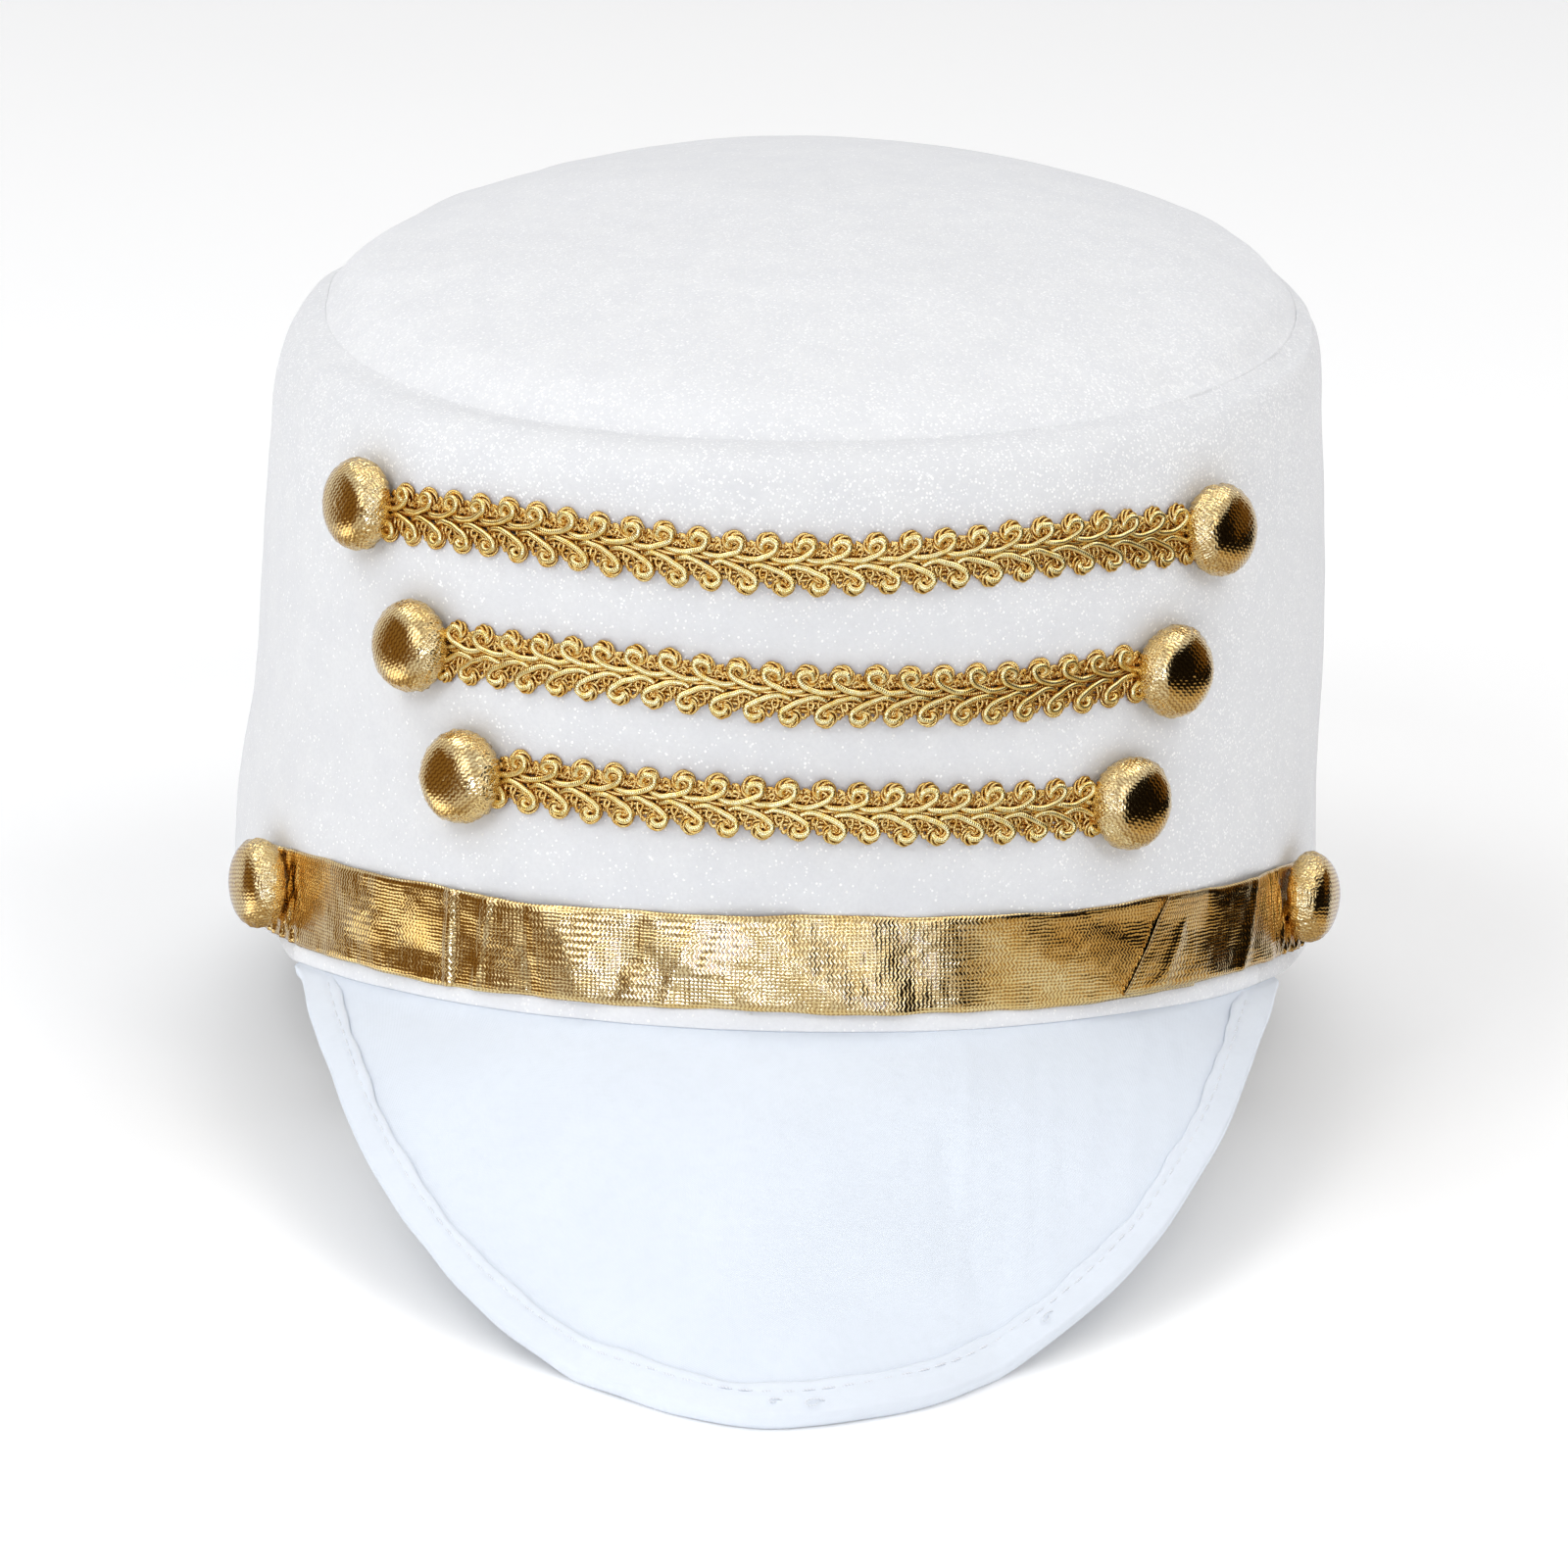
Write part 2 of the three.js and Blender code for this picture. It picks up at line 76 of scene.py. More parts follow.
def table(rows):
    """A smooth value from (at, value) rows, without bumps between them."""
    xs = np.array([r[0] for r in rows], float)
    ys = np.array([r[1] for r in rows], float)
    d = np.diff(ys) / np.diff(xs)
    m = np.empty(len(xs))
    m[0], m[-1] = d[0], d[-1]
    for i in range(1, len(xs) - 1):
        a, b = d[i - 1], d[i]
        m[i] = 0.0 if a * b <= 0 else 2 * a * b / (a + b)

    def at(x):
        x = np.clip(np.asarray(x, float), xs[0], xs[-1])
        i = np.clip(np.searchsorted(xs, x, side="right") - 1, 0, len(xs) - 2)
        w = xs[i + 1] - xs[i]
        t = (x - xs[i]) / w
        t2, t3 = t * t, t * t * t
        return ((2 * t3 - 3 * t2 + 1) * ys[i] + (t3 - 2 * t2 + t) * w * m[i]
                + (-2 * t3 + 3 * t2) * ys[i + 1] + (t3 - t2) * w * m[i + 1])
    return at


OVAL = 1.10
half_width = table([(0, 90.0), (20, 89.4), (40, 88.2), (60, 87.8), (75, 87.15), (90, 86.2), (125, 85.6)])
lean = table([(0, 0.0), (20, -0.1), (40, 1.05), (60, 1.7), (75, 1.85), (90, 1.8), (125, 1.8)])
inset_at = table([(-180, 6.5), (-120, 6.2), (-104, 5.8), (-90, 7.6), (-45, 8.2), (0, 8.5), (45, 6.5), (90, 4.6),
                  (105, 4.2), (125, 5.3), (180, 6.5)])
drop_at = table([(-180, 9), (-120, 11), (-104, 15), (-90, 15), (-45, 9), (0, 5), (45, 7), (90, 12), (105, 11),
                 (125, 10), (180, 9)])
dip_at = table([(-180, -0.4), (-120, -0.4), (-104, -0.2), (-90, 0.2), (-45, 0.9), (0, 0.9), (45, 0.9), (90, 0.2),
                (105, -0.2), (125, -0.4), (180, -0.4)])
CREST = 0.8
swell = table([(0, 14.6), (0.25, 14.2), (0.5, 12.8), (0.72, 10.4), (0.88, 7.2), (0.96, 4.0), (1, 0)])
hem_rise = table([(-140, 0), (-105, 1.2), (-75, 2.5), (-62.5, 2.5), (-58, 0), (66, 0), (76, 1.4), (100, 1.2), (135, 0)])
REST_BACK = 93.0
GAP = 0.3

peak_length = table([(-60, .5), (-56, 1.4), (-48, 8.6), (-40, 18.0), (-32, 30.5), (-24, 44.5), (-16, 58.7),
                     (-8, 70.4), (0, 77.7), (8, 72.5), (16, 60.9), (24, 48.3), (32, 35.0), (40, 23.1),
                     (48, 13.1), (56, 5.8), (62, 1.7), (64, .8)])
PEAK_FROM, PEAK_TO, PEAK_CENTRE = -57.0, 63.0, 1.5
PEAK_SLOPE, PEAK_END_SLOPE, PEAK_FLAT = 33.0, 33.0, 12.0
PEAK_BOARD, BINDING_CLOTH, EDGE_IN = 1.4, 0.4, 0.6
UNDER = PEAK_BOARD + GAP + BINDING_CLOTH
ROOT = -GAP / math.cos(math.radians(PEAK_SLOPE))


def smooth(t):
    u = np.clip(t, 0, 1)
    return u * u * (3 - 2 * u)


def over_wall(turn, height, out):
    """A point over the crown's wall, "out" mm from it."""
    turn, height, out = np.broadcast_arrays(np.asarray(turn, float), np.asarray(height, float), np.asarray(out, float))
    a = half_width(height)
    b = a * OVAL
    s, c = np.sin(np.radians(turn)), np.cos(np.radians(turn))
    nx, ny = s / a, -c / b
    length = np.hypot(nx, ny)
    nx, ny = nx / length, ny / length
    return np.stack([lean(height) + a * s + out * nx, -b * c + out * ny, height * 1.0], -1)


def wall_normal(turn, height):
    r = over_wall(turn + 0.5, height, 0) - over_wall(turn - 0.5, height, 0)
    u = over_wall(turn, height + 1, 0) - over_wall(turn, height - 1, 0)
    n = np.cross(r, u)
    return n / np.linalg.norm(n, axis=-1, keepdims=True)


def seam_height(x, y):
    return 105 + 0.203 * y + 0.025 * x - 4.0 * (x / 84) ** 2 - 4.2 * np.maximum(0, y / 85) ** 1.5


def resting_slope(turn):
    """The peak's slope at a turn that lays its edge on the table."""
    turn = np.asarray(turn, float)
    e = over_wall(turn, 0, 0)
    n = over_wall(turn, 0, 1) - e
    s, c = math.sin(LAID_BACK), math.cos(LAID_BACK)
    along = peak_length(turn) - EDGE_IN
    m = -n[..., 1] * s
    a = m * along - UNDER * c
    b = -(m * UNDER + along * c)
    d = -REST_BACK * s + e[..., 1] * s - ROOT * c
    r = np.hypot(a, b)
    base = np.arctan2(b, a)
    swing = np.arccos(np.clip(d / r, -1, 1))
    one, two = np.degrees(base + swing), np.degrees(base - swing)
    return np.where((one > 0) & (one < 80), one, two)


def peak_slope(turn):
    turn = np.asarray(turn, float)
    away = turn - PEAK_CENTRE
    side = np.sign(away)
    inner = resting_slope(np.where(np.abs(away) <= PEAK_FLAT, turn, PEAK_CENTRE + side * PEAK_FLAT))
    end = np.where(side < 0, PEAK_CENTRE - PEAK_FROM, PEAK_TO - PEAK_CENTRE)
    t = smooth((np.abs(away) - PEAK_FLAT) / (end - PEAK_FLAT))
    return np.where(np.abs(away) <= PEAK_FLAT, inner, inner + (PEAK_END_SLOPE - inner) * t)


def peak_point(turn, slope, along, up):
    turn, slope, along, up = np.broadcast_arrays(*[np.asarray(v, float) for v in (turn, slope, along, up)])
    b = np.radians(slope)
    p = over_wall(turn, 0, along * np.cos(b) + up * np.sin(b))
    p[..., 2] = ROOT - along * np.sin(b) + up * np.cos(b)
    return p


def hem(turn, out):
    turn, out = np.broadcast_arrays(np.asarray(turn, float), np.asarray(out, float))
    in_peak = smooth((turn - (PEAK_FROM - 9)) / 9) * smooth((PEAK_TO + 9 - turn) / 9)
    y = over_wall(turn, 0, out)[..., 1]
    slope = np.tan(np.radians(peak_slope(np.clip(turn, PEAK_FROM, PEAK_TO))))
    return np.maximum.reduce([-out * slope * in_peak, (y - REST_BACK) * math.tan(LAID_BACK), hem_rise(turn), 0 * y])


BUTTONS = {
    "button_top_left": (-49.1, 74.7, 0), "button_top_right": (46.5, 74.5, 0),
    "button_middle_left": (-40.2, 54.4, 0), "button_middle_right": (40.4, 53.6, 0),
    "button_bottom_left": (-32.7, 35.4, 0), "button_bottom_right": (35.8, 33.7, 0),
    "button_band_left": (-61.3, 11.8, 1.1), "button_band_right": (66.7, 12.3, 1.1),
}
BRAIDS = {
    "braid_top": ("button_top_left", "button_top_right", 1,
                  [(-49, 74.4), (-32, 74.3), (-21, 73.4), (-11, 72.2), (-1, 71.4), (8, 71.8), (18, 72.9), (29, 74.2), (46, 74.5)]),
    "braid_middle": ("button_middle_left", "button_middle_right", -1,
                     [(-40, 54.6), (-24, 54.2), (-15, 53.7), (-6, 52.6), (2, 51.7), (20, 51.9), (28, 52.8), (40, 54.2)]),
    "braid_bottom": ("button_bottom_left", "button_bottom_right", 1,
                     [(-33, 36.4), (-19, 35.6), (-4, 34.7), (12, 33.8), (24, 33.5), (36, 33.9)]),
}
BAND_FROM, BAND_TO, BAND_BOTTOM, BAND_TOP = -65.0, 69.5, 3.1, 17.9


# -------------------------------------------------------------- mesh helpers

def waves(count, longest, shortest, dims, seed):
    """A smooth random field: a sum of plane waves with the given wavelengths."""
    rng = np.random.default_rng(seed)
    lam = np.exp(rng.uniform(math.log(shortest), math.log(longest), count))
    way = rng.normal(size=(count, dims))
    way /= np.linalg.norm(way, axis=1, keepdims=True)
    k = way * (2 * np.pi / lam)[:, None]
    phase = rng.uniform(0, 2 * np.pi, count)
    amp = (lam / longest) ** 0.5
    amp = amp / math.sqrt((amp ** 2).sum() / 2)

    def at(p):
        total = np.zeros(p.shape[:-1])
        for ki, ph, a in zip(k, phase, amp):
            total += a * np.sin(p @ ki + ph)
        return total
    return at


def mesh_object(name, points, faces, materials, uv=None, which=None, closed=True, in_row=False):
    """A mesh from points and quads (or triangles where the last index is -1)."""
    points = np.asarray(points, float).reshape(-1, 3)
    faces = np.asarray(faces, int)
    if faces.shape[1] == 3:
        faces = np.concatenate([faces, -np.ones((len(faces), 1), int)], 1)
    if closed:
        tri = np.concatenate([faces[:, :3], faces[faces[:, 3] >= 0][:, [0, 2, 3]]])
        a, b, c = points[tri[:, 0]], points[tri[:, 1]], points[tri[:, 2]]
        if np.einsum("ij,ij->i", a, np.cross(b, c)).sum() < 0:
            quad = faces[:, 3] >= 0
            flipped = faces[:, ::-1].copy()
            flipped[~quad] = np.concatenate([faces[~quad][:, [0, 2, 1]], -np.ones(((~quad).sum(), 1), int)], 1)
            faces = flipped
    sizes = np.where(faces[:, 3] >= 0, 4, 3)
    loops = faces.ravel()[faces.ravel() >= 0]
    starts = np.concatenate([[0], np.cumsum(sizes)[:-1]])
    me = bpy.data.meshes.new(name)
    me.vertices.add(len(points))
    co = points if in_row else to_row(points)
    me.vertices.foreach_set("co", co.astype(np.float32).ravel())
    me.loops.add(len(loops))
    me.loops.foreach_set("vertex_index", loops.astype(np.int32))
    me.polygons.add(len(faces))
    me.polygons.foreach_set("loop_start", starts.astype(np.int32))
    me.polygons.foreach_set("loop_total", sizes.astype(np.int32))
    me.polygons.foreach_set("use_smooth", np.ones(len(faces), bool))
    if which is not None:
        me.polygons.foreach_set("material_index", np.asarray(which, np.int32))
    if uv is not None:
        layer = me.uv_layers.new(name="cloth")
        layer.data.foreach_set("uv", np.asarray(uv, np.float32).reshape(-1, 2)[loops].ravel())
    me.update(calc_edges=True)
    me.validate()
    obj = bpy.data.objects.new(name, me)
    bpy.context.scene.collection.objects.link(obj)
    for m in materials if isinstance(materials, (list, tuple)) else [materials]:
        me.materials.append(m)
    return obj


def grid_faces(n, k, close_n=False, close_k=False, start=0):
    i = np.arange(n if close_n else n - 1)
    j = np.arange(k if close_k else k - 1)
    i, j = np.meshgrid(i, j, indexing="ij")
    i, j = i.ravel(), j.ravel()
    i2, j2 = (i + 1) % n, (j + 1) % k
    return start + np.stack([i * k + j, i * k + j2, i2 * k + j2, i2 * k + j], 1)


def grid_normals(p, close_n, close_k):
    """Normals of a grid of points, from differences along both ways."""
    def diff(axis, wrap):
        if wrap:
            return np.roll(p, -1, axis) - np.roll(p, 1, axis)
        return np.gradient(p, axis=axis)
    n = np.cross(diff(0, close_n), diff(1, close_k))
    return n / np.maximum(np.linalg.norm(n, axis=-1, keepdims=True), 1e-9)


def cap(loop, start, reverse):
    """Closes the end of a thin loop whose two sides run beside each other."""
    k = len(loop)
    out = []
    lo, hi = 0, k - 1
    while hi - lo >= 3:
        out.append([start + lo, start + lo + 1, start + hi - 1, start + hi])
        lo, hi = lo + 1, hi - 1
    if hi - lo == 2:
        out.append([start + lo, start + lo + 1, start + hi, -1])
    out = np.array(out)
    if reverse:
        quad = out[:, 3] >= 0
        flipped = out[:, ::-1].copy()
        flipped[~quad] = np.concatenate([out[~quad][:, [0, 2, 1]], -np.ones(((~quad).sum(), 1), int)], 1)
        out = flipped
    return out


class Build:
    """Collects sweeps and patches into one mesh."""

    def __init__(self):
        self.p, self.f, self.uv, self.m, self.n = [], [], [], [], 0

    def add(self, points, faces, uv, material=0):
        points = np.asarray(points).reshape(-1, 3)
        self.p.append(points)
        self.f.append(np.where(faces >= 0, faces + self.n, -1))
        self.uv.append(np.asarray(uv, float).reshape(-1, 2))
        self.m.append(np.full(len(faces), material))
        self.n += len(points)

    def object(self, name, materials, place=None):
        p = np.concatenate(self.p)
        return mesh_object(name, p if place is None else place(p), np.concatenate(self.f), materials,
                           np.concatenate(self.uv), np.concatenate(self.m), closed=False)


def spline(points, count):
    """Catmull-Rom through control points, evenly sampled by their index."""
    p = np.asarray(points, float)
    p = np.concatenate([[2 * p[0] - p[1]], p, [2 * p[-1] - p[-2]]])
    t = np.linspace(0, len(p) - 3 - 1e-9, count)
    i = t.astype(int)
    f = (t - i)[:, None]
    a, b, c, d = p[i], p[i + 1], p[i + 2], p[i + 3]
    return 0.5 * (2 * b + (c - a) * f + (2 * a - 5 * b + 4 * c - d) * f ** 2 + (3 * b - a - 3 * c + d) * f ** 3)


def sweep(build, path, radius, sides, up=(0, 0, 1), wrap=0.3, material=0, squash=1.0, closed=False):
    """A round cord along a path, closed at both ends. U counts the wraps, V is 1 on its outer side."""
    path = np.asarray(path, float)
    n = len(path)
    radius = np.broadcast_to(radius, (n,)).astype(float)
    if closed:
        t = np.roll(path, -1, 0) - np.roll(path, 1, 0)
    else:
        t = np.gradient(path, axis=0)
    t /= np.linalg.norm(t, axis=1, keepdims=True)
    up = np.broadcast_to(np.asarray(up, float), (n, 3))
    side = np.cross(t, up)
    side /= np.maximum(np.linalg.norm(side, axis=1, keepdims=True), 1e-6)
    top = np.cross(side, t)
    step = np.linalg.norm(np.diff(path, axis=0), axis=1)
    length = np.concatenate([[0], np.cumsum(step)])
    ang = np.linspace(0, 2 * np.pi, sides, endpoint=False)
    ring = (side[:, None] * np.cos(ang)[None, :, None] + top[:, None] * (np.sin(ang) * squash)[None, :, None]) * radius[:, None, None]
    pts = (path[:, None] + ring).reshape(-1, 3)
    uv = np.stack([np.broadcast_to(length[:, None] / wrap, (n, sides)) + ang[None] / (2 * np.pi),
                   np.broadcast_to(np.sin(ang)[None], (n, sides))], -1).reshape(-1, 2)
    faces = grid_faces(n, sides, closed, True)[:, ::-1]
    if not closed:
        pts = np.concatenate([pts, path[:1] - t[:1] * radius[0] * 0.6, path[-1:] + t[-1:] * radius[-1] * 0.6])
        uv = np.concatenate([uv, [[0, 0], [length[-1] / wrap, 0]]])
        j = np.arange(sides)
        j2 = (j + 1) % sides
        none = -np.ones(sides, int)
        first = np.stack([np.full(sides, n * sides), j, j2, none], 1)
        last = np.stack([np.full(sides, n * sides + 1), (n - 1) * sides + j2, (n - 1) * sides + j, none], 1)
        faces = np.concatenate([faces, first, last])
    build.add(pts, faces, uv, material)


# ----------------------------------------------------------------- materials

class Nodes:
    def __init__(self, name):
        self.mat = bpy.data.materials.new(name)
        self.mat.use_nodes = True
        self.nt = self.mat.node_tree
        self.bsdf = self.nt.nodes["Principled BSDF"]

    def new(self, kind, **props):
        n = self.nt.nodes.new(kind)
        for k, v in props.items():
            setattr(n, k, v)
        return n

    def set(self, socket, value):
        if hasattr(value, "is_linked") or isinstance(value, bpy.types.NodeSocket):
            self.nt.links.new(value, socket)
        else:
            socket.default_value = value

    def math(self, op, a, b=0.0, c=0.0, clamp=False):
        n = self.new("ShaderNodeMath", operation=op, use_clamp=clamp)
        for s, v in zip(n.inputs, (a, b, c)):
            self.set(s, v)
        return n.outputs[0]

    def vmath(self, op, a, b=None, scale=None):
        n = self.new("ShaderNodeVectorMath", operation=op)
        self.set(n.inputs[0], a)
        if b is not None:
            self.set(n.inputs[1], b)
        if scale is not None:
            self.set(n.inputs["Scale"], scale)
        return n.outputs["Value"] if op in ("DOT_PRODUCT", "LENGTH", "DISTANCE") else n.outputs["Vector"]

    def object_coords(self):
        return self.new("ShaderNodeTexCoord").outputs["Object"]

    def uv(self):
        return self.new("ShaderNodeUVMap", uv_map="cloth").outputs["UV"]

    def noise(self, vector, scale, detail=2.0, rough=0.5, distortion=0.0, out="Fac"):
        n = self.new("ShaderNodeTexNoise")
        self.set(n.inputs["Vector"], vector)
        n.inputs["Scale"].default_value = scale
        n.inputs["Detail"].default_value = detail
        n.inputs["Roughness"].default_value = rough
        n.inputs["Distortion"].default_value = distortion
        return n.outputs[out]

    def voronoi(self, vector, scale, feature="F1"):
        n = self.new("ShaderNodeTexVoronoi", feature=feature)
        self.set(n.inputs["Vector"], vector)
        n.inputs["Scale"].default_value = scale
        return n

    def ramp(self, value, lo, hi, a=0.0, b=1.0):
        n = self.new("ShaderNodeMapRange", interpolation_type="SMOOTHSTEP", clamp=True)
        self.set(n.inputs["Value"], value)
        n.inputs["From Min"].default_value = lo
        n.inputs["From Max"].default_value = hi
        n.inputs["To Min"].default_value = a
        n.inputs["To Max"].default_value = b
        return n.outputs["Result"]

    def mix(self, factor, a, b):
        n = self.new("ShaderNodeMix", data_type="RGBA")
        self.set(n.inputs["Factor"], factor)
        for s, v in zip((n.inputs[6], n.inputs[7]), (a, b)):
            self.set(s, (*v, 1.0) if isinstance(v, tuple) and len(v) == 3 else v)
        return n.outputs[2]

    def mix_vector(self, factor, a, b):
        n = self.new("ShaderNodeMix", data_type="VECTOR")
        self.set(n.inputs["Factor"], factor)
        self.set(n.inputs[4], a)
        self.set(n.inputs[5], b)
        return n.outputs[1]

    def bump(self, height, distance, strength=1.0, normal=None):
        n = self.new("ShaderNodeBump")
        n.inputs["Strength"].default_value = strength
        n.inputs["Distance"].default_value = distance
        self.set(n.inputs["Height"], height)
        if normal is not None:
            self.set(n.inputs["Normal"], normal)
        return n.outputs["Normal"]

    def put(self, **values):
        for k, v in values.items():
            socket = self.bsdf.inputs[k.replace("_", " ")]
            self.set(socket, (*v, 1.0) if isinstance(v, tuple) and len(v) == 3 and socket.type == "RGBA" else v)
        return self.mat


def velvet_material(name, lift=1.0):
    """White glitter velvet: short nap with fine flakes turned every way. The flakes are painted near white, as painted
    glints, and crowd at the top front and on the right.
    """
    g = Nodes(name)
    here = g.object_coords()
    turned = g.new("ShaderNodeMapping")              # no face of the hat lies along the pattern's axes
    turned.inputs["Rotation"].default_value = (math.radians(35.264), math.radians(45), 0)
    g.set(turned.inputs["Vector"], here)
    at = turned.outputs["Vector"]
    soft = g.noise(at, 150, 3, 0.55)                 # clouds in the nap
    nap = g.noise(at, 1500, 2, 0.55)                 # tufts
    fine = g.noise(at, 4200, 1, 0.5)
    cell = g.voronoi(at, 2300)                       # one flake to a cell
    place = g.new("ShaderNodeSeparateXYZ")
    g.set(place.inputs[0], here)
    tone = g.new("ShaderNodeSeparateColor")
    g.set(tone.inputs[0], cell.outputs["Color"])
    patchy = g.ramp(g.noise(at, 40, 2, 0.6), 0.32, 0.66, 0.0, 0.10)
    # painted glints: more flakes towards the top front and on the right side
    front = g.math("MULTIPLY", g.ramp(place.outputs[2], 0.088, 0.104), g.ramp(place.outputs[1], 0.085, 0.025, 0.0, 0.38))
    right = g.ramp(place.outputs[0], 0.015, 0.075, 0.0, 0.28)
    many = g.math("ADD", patchy, g.math("ADD", front, right))
    rare = g.math("GREATER_THAN", tone.outputs[0], g.math("SUBTRACT", 0.93, many))
    size = g.ramp(tone.outputs[2], 0.0, 1.0, 0.30, 0.60)
    dot = g.math("MULTIPLY", g.math("SUBTRACT", size, cell.outputs["Distance"]), 5.5, clamp=True)
    bright = g.ramp(tone.outputs[1], 0.0, 0.8, 0.35, 1.0)
    flake_painted_glint = g.math("MULTIPLY", g.math("MULTIPLY", rare, dot), bright, clamp=True)
    # lift scales the colour for lit and shaded copies of this one velvet: painted light and shade
    base = g.mix(g.ramp(soft, 0.3, 0.7), tuple(v * lift for v in (0.745, 0.752, 0.772)), tuple(v * lift for v in (0.778, 0.784, 0.797)))
    base = g.mix(g.ramp(nap, 0.36, 0.62, 0.30, 0.0), base, tuple(v * lift for v in (0.69, 0.695, 0.715)))
    # painted glints: the flakes are painted near white, brighter than the velvet around them
    base = g.mix(flake_painted_glint, base, (1.0, 1.0, 1.0))
    spin = g.vmath("SCALE", g.vmath("SUBTRACT", cell.outputs["Color"], (0.5, 0.5, 0.5)), scale=0.7)
    facing = g.new("ShaderNodeNewGeometry").outputs["Normal"]
    tilt = g.vmath("NORMALIZE", g.vmath("ADD", facing, spin))
    height = g.math("ADD", g.math("MULTIPLY", nap, 1.0), g.math("MULTIPLY", fine, 0.5))
    felt = g.bump(height, 0.00013, 0.6)
    normal = g.mix_vector(flake_painted_glint, felt, tilt)
    return g.put(Base_Color=base, Roughness=g.ramp(flake_painted_glint, 0.0, 1.0, 0.9, 0.25),
                 Normal=normal, Sheen_Weight=0.2, Sheen_Roughness=0.45, Specular_IOR_Level=0.25)


def cotton_material(name, tint=(0.765, 0.822, 0.905)):
    """Smooth bluish white cotton with a plain weave."""
    g = Nodes(name)
    at, uv = g.object_coords(), g.uv()
    split = g.new("ShaderNodeSeparateXYZ")
    g.set(split.inputs[0], uv)
    two_pi = 2 * math.pi
    warp = g.math("SINE", g.math("MULTIPLY", split.outputs[0], two_pi / 0.36))
    weft = g.math("SINE", g.math("MULTIPLY", split.outputs[1], two_pi / 0.36))
    weave = g.math("MULTIPLY", warp, weft)
    slub = g.noise(at, 420, 3, 0.6)
    cloud = g.noise(at, 55, 2, 0.5)
    darker = tuple(v * 0.975 for v in tint)
    base = g.mix(g.ramp(cloud, 0.3, 0.7), tint, darker)
    base = g.mix(g.ramp(slub, 0.4, 0.75, 0.0, 0.35), base, tuple(v * 0.93 for v in tint))
    height = g.math("ADD", g.math("MULTIPLY", weave, 0.5), g.math("MULTIPLY", slub, 2.0))
    return g.put(Base_Color=base, Roughness=0.72, Normal=g.bump(height, 0.00006, 0.6), Sheen_Weight=0.12,
                 Sheen_Roughness=0.5, Specular_IOR_Level=0.3)


def lining_material(name):
    g = Nodes(name)
    at = g.object_coords()
    knit = g.noise(at, 1300, 2, 0.6)
    base = g.mix(g.ramp(knit, 0.3, 0.7), (0.80, 0.80, 0.80), (0.70, 0.70, 0.71))
    return g.put(Base_Color=base, Roughness=0.9, Normal=g.bump(knit, 0.0002, 0.5), Specular_IOR_Level=0.2)


def thread_material(name, colour):
    g = Nodes(name)
    split = g.new("ShaderNodeSeparateXYZ")
    g.set(split.inputs[0], g.uv())
    ply = g.math("SINE", g.math("MULTIPLY", split.outputs[0], 2 * math.pi))
    base = g.mix(g.ramp(ply, -0.6, 0.6), tuple(v * 0.86 for v in colour), colour)
    return g.put(Base_Color=base, Roughness=0.6, Normal=g.bump(ply, 0.00004, 0.7), Sheen_Weight=0.1, Sheen_Roughness=0.4)


def gimp_material(name, light, dark, roughness, metal, strength):
    """Lustrous gold yarn wound round a core; one wind to each unit of U. Each cord is painted darker towards its sides
    and underside, by V: painted shade.
    """
    g = Nodes(name)
    at = g.object_coords()
    split = g.new("ShaderNodeSeparateXYZ")
    g.set(split.inputs[0], g.uv())
    wind = g.math("SINE", g.math("MULTIPLY", split.outputs[0], 2 * math.pi))
    fleck = g.noise(at, 1100, 2, 0.55)
    tone = g.math("ADD", g.math("MULTIPLY", wind, 0.08), fleck)
    base = g.mix(g.ramp(tone, 0.24, 0.62), dark, light)
    # painted shade: darker on the sides and underside of each cord
    base = g.mix(g.ramp(split.outputs[1], -0.25, 0.6), (0.44, 0.17, 0.008), base)
    height = g.math("ADD", g.math("MULTIPLY", wind, 0.7), g.math("MULTIPLY", fleck, 0.7))
    return g.put(Base_Color=base, Metallic=metal, Roughness=roughness, Normal=g.bump(height, 0.00006, strength),
                 Specular_Tint=(0.95, 0.70, 0.30), Coat_Weight=0.1, Coat_Roughness=0.15)


